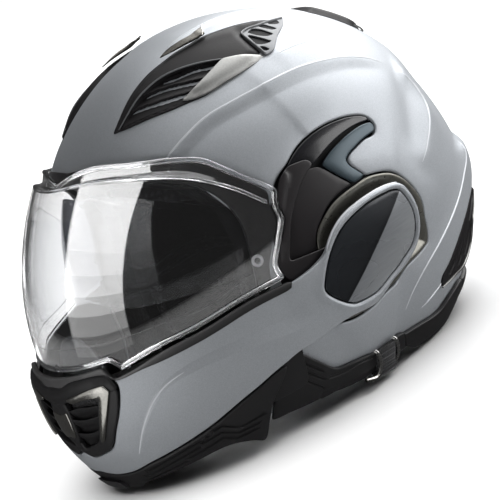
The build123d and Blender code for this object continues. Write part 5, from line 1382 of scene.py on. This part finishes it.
rows_ = [tail_point(3.5, z, 1.3) for z in (26, 23, 20, 17, 14, 11)]
pts = [p + np.array([0, 0, 0]) for p in rows_] + [np.array([rows_[-1][0] - 0.8, 3.5 + YS, 7.6]), np.array([rows_[-1][0] - 4.0, 3.5 + YS, 5.2]), np.array([rows_[-1][0] - 10.0, 3.5 + YS, 4.4]), np.array([96.0, 3.5 + YS, 7.0]), np.array([86.0, 3.5 + YS, 16.0]), np.array([80.0, 3.5 + YS, 26.0])]
p = np.array(pts)
t = np.gradient(p, axis=0); t /= np.linalg.norm(t, axis=1, keepdims=True)
nn_ = np.stack([t[:, 2], np.zeros(len(p)), -t[:, 0]], 1)
v, f = strip(p, nn_, np.tile([0, 1.0, 0.0], (len(p), 1)), 8.4, 0.9, 0.8)
piece("strap_tail", v, f, M["webbing"], "shell", (), "webbing")
for nm, y0 in (("strap_hoop_front", -6.0), ("strap_hoop_rear", 12.6)):
    path = [tail_point(y0 - 0.4, 27.5, 1.0), tail_point(y0 + 0.3, 26.0, 3.2), tail_point(y0 + 1.6, 21.0, 3.8), tail_point(y0 + 2.0, 16.0, 4.2), tail_point(y0 + 0.8, 11.0, 3.8), tail_point(y0 - 0.6, 8.4, 1.6)]
    vr, fr = tube(dense3(path, 0.8), 1.35, 12)
    piece(nm, vr, fr, M["steel"], "shell", (), "steel")
path = [tail_point(-6.4, 9.4, 3.2), tail_point(-10.0, 9.2, 3.2), tail_point(-17.0, 11.4, 2.2)]
vr, fr = tube(dense3(path, 0.8), np.linspace(2.0, 1.3, len(dense3(path, 0.8))), 10)
piece("strap_hoop_lever", vr, fr, M["chrome"], "shell", (), "steel")


# ======================================================================= padded fabric
def pad(node_name, name, body, voxel, pressure, mat, cap, shrink_by=0.9):
    """Comfort pad: the node's own block, blown up a little as cloth, with the swelling held to a few millimetres."""
    src = frame["nodes"][node_name]
    me = src.data.copy()
    ob = bpy.data.objects.new(name, me)
    bpy.context.scene.collection.objects.link(ob)
    me.materials.clear()
    me.materials.append(mat)
    rm = ob.modifiers.new("remesh", "REMESH")
    rm.mode = "VOXEL"
    rm.voxel_size = voxel
    dg = bpy.context.evaluated_depsgraph_get()
    new = bpy.data.meshes.new_from_object(ob.evaluated_get(dg))
    ob.modifiers.clear()
    ob.data = new
    start = np.empty(len(new.vertices) * 3)
    new.vertices.foreach_get("co", start)
    start = start.reshape(-1, 3)
    nm_ = np.empty(len(new.vertices) * 3)
    new.vertices.foreach_get("normal", nm_)
    nm_ = nm_.reshape(-1, 3)
    base_ = start - nm_ * shrink_by * 0.001
    new.vertices.foreach_set("co", base_.ravel())
    cl = ob.modifiers.new("cloth", "CLOTH")
    st = cl.settings
    st.quality = 4
    st.mass = 0.3
    st.use_pressure = True
    st.uniform_pressure_force = pressure
    st.tension_stiffness = st.compression_stiffness = 12
    st.shear_stiffness = 5
    st.bending_stiffness = 0.6
    st.effector_weights.gravity = 0
    cl.collision_settings.use_self_collision = False
    sc = bpy.context.scene
    cl.point_cache.frame_start, cl.point_cache.frame_end = 1, 20
    for fr_ in range(1, 21):
        sc.frame_set(fr_)
    dg = bpy.context.evaluated_depsgraph_get()
    res = bpy.data.meshes.new_from_object(ob.evaluated_get(dg))
    got = np.empty(len(res.vertices) * 3)
    res.vertices.foreach_get("co", got)
    got = got.reshape(-1, 3)
    dlt = got - base_
    ln = np.linalg.norm(dlt, axis=1, keepdims=True)
    dlt *= np.minimum(1.0, cap / np.maximum(ln, 1e-9))
    ob.modifiers.clear()
    sc.frame_set(1)
    new.vertices.foreach_set("co", (base_ + dlt).ravel())
    sb = ob.modifiers.new("smooth", "SUBSURF")
    sb.levels = sb.render_levels = 1
    dg = bpy.context.evaluated_depsgraph_get()
    fin = bpy.data.meshes.new_from_object(ob.evaluated_get(dg))
    ob.modifiers.clear()
    ob.data = fin
    fin.polygons.foreach_set("use_smooth", [True] * len(fin.polygons))
    fin.materials.clear()
    fin.materials.append(mat)
    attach(ob, body)
    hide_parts(node_name)
    return ob


def snap(ob, pts, lift=0.0006):
    """Points in mm moved onto the nearest place of a pad's surface, lifted a little."""
    out = []
    for q in pts:
        ok, loc, n, i = ob.closest_point_on_mesh(Vector(q) / 1000.0)
        out.append(np.array(loc + n * lift) * 1000.0)
    return np.array(out)


def seam(ob, name, lines, rad=0.7, stitch=True):
    """Piped seams along lines laid on a pad, with a row of stitches beside each."""
    B, S = Build(), Build()
    for ln in lines:
        p = snap(ob, dense3(ln, 2.5))
        B.add(*tube(p, rad, 8))
        if stitch:
            q = snap(ob, [a + np.array([0.0, 0.0, 0.0]) for a in dense3(ln, 1.0)], 0.0004)
            t = np.gradient(q, axis=0)
            t /= np.maximum(np.linalg.norm(t, axis=1, keepdims=True), 1e-9)
            c = np.cross(t, [0.3, 0.2, 1.0])
            c /= np.maximum(np.linalg.norm(c, axis=1, keepdims=True), 1e-9)
            q2 = snap(ob, q + c * 2.6, 0.0003)
            for i in range(1, len(q2) - 3, 4):
                S.add(*tube(q2[i:i + 3], 0.28, 6))
    piece(name + "_piping", *B.data(), M["piping"], ob["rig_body"] if "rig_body" in ob else "shell", (), "liner_fabric")
    if stitch:
        piece(name + "_stitches", *S.data(), M["thread"], "shell", (), "liner_fabric")


crown_ob = pad("crown_pad", "crown_cushion", "shell", 0.0055, 3.5, M["mesh_fabric"], 0.0022)
seam(crown_ob, "crown", [[tuple(HD.P(HD.plan([(x, y)]), -9.0)[0]) for y in np.linspace(-62, 104, 10)] for x in (-26.0, 26.0)] +
     [[tuple(HD.P(HD.plan([(x, 20.0)]), -9.0)[0]) for x in np.linspace(-58, 58, 9)]])
for sd, sx in (("left", 1), ("right", -1)):
    co = pad("cheek_pad_" + sd, "cheek_cushion_" + sd, "shell", 0.0055, 4.0, M["fabric"], 0.003)
    seam(co, "cheek_" + sd, [[(sx * 57.0, y + YS, z) for y, z in ((-48, 96), (-50, 70), (-54, 46), (-36, 36), (14, 36), (24, 60), (20, 90), (-4, 100), (-38, 100), (-48, 96))],
                             [(sx * 57.0, y + YS, z) for y, z in ((-50, 68), (-20, 64), (6, 66), (24, 64))]])
neck_ob = pad("neck_roll", "neck_cushion", "shell", 0.0055, 3.5, M["fabric"], 0.0025)
seam(neck_ob, "neck", [[tuple(SH.P(SH.back([(x, 12.0)]), -27.0)[0]) for x in np.linspace(-60, 60, 13)]])

slo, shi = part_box("sun_visor_switch")
sy0, sy1, sz0, sz1 = slo[1] * 1000 - YS, shi[1] * 1000 - YS, slo[2] * 1000, shi[2] * 1000
ins_ = 0.5
sw = dense([tuple(p) for p in SK.side([(sy0 + ins_, sz0 + ins_), (sy1 - ins_, sz0 + ins_), (sy1 - ins_, sz1 - ins_), (sy0 + ins_, sz1 - ins_)])], 1.4, True, 34)
ribs_ = [dense([tuple(p) for p in SK.side([(yy, sz0 + 1.6), (yy, sz1 - 1.6)])], 1.0, False, 60) for yy in np.linspace(sy0 + 4, sy1 - 4, 4)]
v, f, mi = patch(SK, sw, [], ribs_, step=1.6, rim=0.9, T=3.0, base=-0.6, top=lambda q, d: sum(0.45 * np.exp(-(near(q, r_)[0] / 0.7) ** 2) for r_ in ribs_))
piece("sun_shield_lever", v, f, M["black"], "sun_switch", "sun_visor_switch", "black_plastic")

# the inner faces of the painted mouldings are bare black plastic
for nm in ("shell_outer", "chin_bar_outer"):
    me = bpy.data.objects[nm].data
    me.materials.append(M["black"])
    for p in me.polygons:
        w = p.center - Vector((0.0, 0.0, 0.12))
        if p.normal.dot(w.normalized()) < -0.3:
            p.material_index = len(me.materials) - 1

# ======================================================================= finishes of the carried-over pieces
FIN = {"eps_liner": "foam", "eyeport_seal": "rubber", "pivot_pins": "steel", "hinge_screws": "steel", "striker_pins": "steel", "sun_visor_pins": "black", "strap_rivets": "steel",
       "buckle_body": "black", "buckle_tongue": "steel", "buckle_pin": "steel", "buckle_lever": "lever", "chin_bar_liner": "foam", "chin_curtain": "fabric", "pinlock_lens": "lens",
       "sun_visor_switch": "black_soft", "chin_vent_shutter": "black_soft", "release_button": "lever", "latch_hooks": "steel"}
for k in ("black_soft", "dark_void"):
    M[k].node_tree.nodes["Principled BSDF"].inputs["Specular IOR Level"].default_value = 0.22
for nm, ob in frame["nodes"].items():
    mt = M.get(FIN.get(nm, ""), M["black"])
    ob.data.materials.clear()
    ob.data.materials.append(mt)
    ob.data.polygons.foreach_set("material_index", [0] * len(ob.data.polygons))

# ======================================================================= camera, light, floor
def stage():
    sc = bpy.context.scene
    cam = bpy.data.cameras.new("camera")
    cam.sensor_width = 36.0
    cam.lens = 146.16
    co = bpy.data.objects.new("camera", cam)
    right = Vector((0.53142936, 0.7550315, -0.38407066))
    up = Vector((0.00181202, 0.45237906, 0.89182392))
    fwd = Vector((-0.84710067, 0.47463736, -0.23903938))
    m = Matrix((right, up, -fwd)).transposed().to_4x4()
    m.translation = Vector((1.18594, -0.660992, 0.432905))
    co.matrix_world = m
    cam.clip_end = 50
    sc.collection.objects.link(co)
    sc.camera = co

    me = bpy.data.meshes.new("floor")
    s, r, n = 6.0, 2.5, 14
    prof = [(s, 0.0), (-s + r, 0.0)] + [(-s + r - r * math.sin(a), r - r * math.cos(a)) for a in np.linspace(0.08, math.pi / 2, n)] + [(-s, 6.0)]
    vs = [(x, y, z) for x in (-9.0, 9.0) for y, z in prof]
    me.from_pydata([(a, -b, c) for a, b, c in vs], [], [(i, i + 1, len(prof) + i + 1, len(prof) + i) for i in range(len(prof) - 1)])
    for p in me.polygons:
        p.use_smooth = True
    fl = bpy.data.objects.new("floor", me)
    sc.collection.objects.link(fl)
    fm = plain("studio_floor", (0.80, 0.80, 0.80), rough=0.75, grain=60, amount=0.02, vary=0.01)
    me.materials.append(fm)

    def area(name, loc, target, size, power, color=(1, 1, 1), shape="RECTANGLE"):
        li = bpy.data.lights.new(name, "AREA")
        li.shape = shape
        li.size, li.size_y = size
        li.energy = power
        li.color = color
        o = bpy.data.objects.new(name, li)
        o.location = loc
        o.rotation_euler = (Vector(target) - Vector(loc)).to_track_quat("-Z", "Y").to_euler()
        sc.collection.objects.link(o)
        return o

    def box(name, az, el, dist, size, power, centre=(0.0, -0.05, 0.13), color=(1, 1, 1)):
        a, e = math.radians(az), math.radians(el)
        c = Vector(centre)
        d = Vector((math.sin(a) * math.cos(e), -math.cos(a) * math.cos(e), math.sin(e)))
        return area(name, tuple(c + d * dist), tuple(c), size, power, color)

    # three groups of receivers, so that the floor, the shield and the paint are each lit as in a studio with flags
    lit = {k: bpy.data.collections.new("lit_" + k) for k in ("shield", "body", "low", "floor")}
    glassy = ("visor_clear", "visor_rim_bead", "visor_brow_bead", "sun_shield", "pinlock_lens")
    for o in list(bpy.data.objects):
        if o.type != "MESH":
            continue
        if o is fl:
            lit["floor"].objects.link(o)
            continue
        lit["body"].objects.link(o)
        if o.name in glassy or o.name == "shield_gasket" or o.name.startswith("pin_"):
            lit["shield"].objects.link(o)
        if o.name not in glassy:
            lit["low"].objects.link(o)

    def only(light, group):
        light.light_linking.receiver_collection = lit[group]

    for k, (el, pw) in enumerate(((60, 0.9), (52, 1.0), (44, 1.0), (36, 1.0), (28, 0.94), (20, 0.80), (12, 0.55), (4, 0.30), (-4, 0.14))):
        only(box("shield_box_%d" % k, -4.5, el, 1.75, (1.67, 0.246), 6.4 * pw), "shield")
    only(box("front_box", -16, 14, 1.9, (1.5, 1.2), 3.0), "low")
    only(area("front_low", (0.22, -0.78, 0.02), (0.05, -0.1, 0.12), (0.9, 0.6), 1.7), "low")
    only(box("top_box", 160, 76, 2.2, (2.6, 2.0), 22, (0, 0.1, 0.0)), "body")
    only(box("back_box", -166, 38, 2.3, (2.7, 2.0), 84, (0, 0.05, 0.15)), "body")
    only(box("rear_box", 140, 8, 1.9, (1.3, 0.9), 13), "low")
    only(area("floor_box", (-2.7, 1.9, 2.6), (-2.9, 2.0, 0.0), (4.0, 3.2), 120), "floor")
    only(area("floor_top", (0.1, 0.5, 2.4), (0.1, 0.5, 0.0), (4.2, 4.2), 150), "floor")
    only(area("floor_side", (3.0, 0.8, 2.6), (3.2, 0.8, 0.0), (4.0, 3.2), 120), "floor")
    fl.visible_glossy = False
    w = bpy.data.worlds.new("studio")
    sc.world = w
    w.use_nodes = True
    bg = w.node_tree.nodes["Background"]
    bg.inputs[0].default_value = (1.0, 1.0, 1.0, 1)
    bg.inputs[1].default_value = 0.06
    sc.view_settings.view_transform = "Standard"


stage()
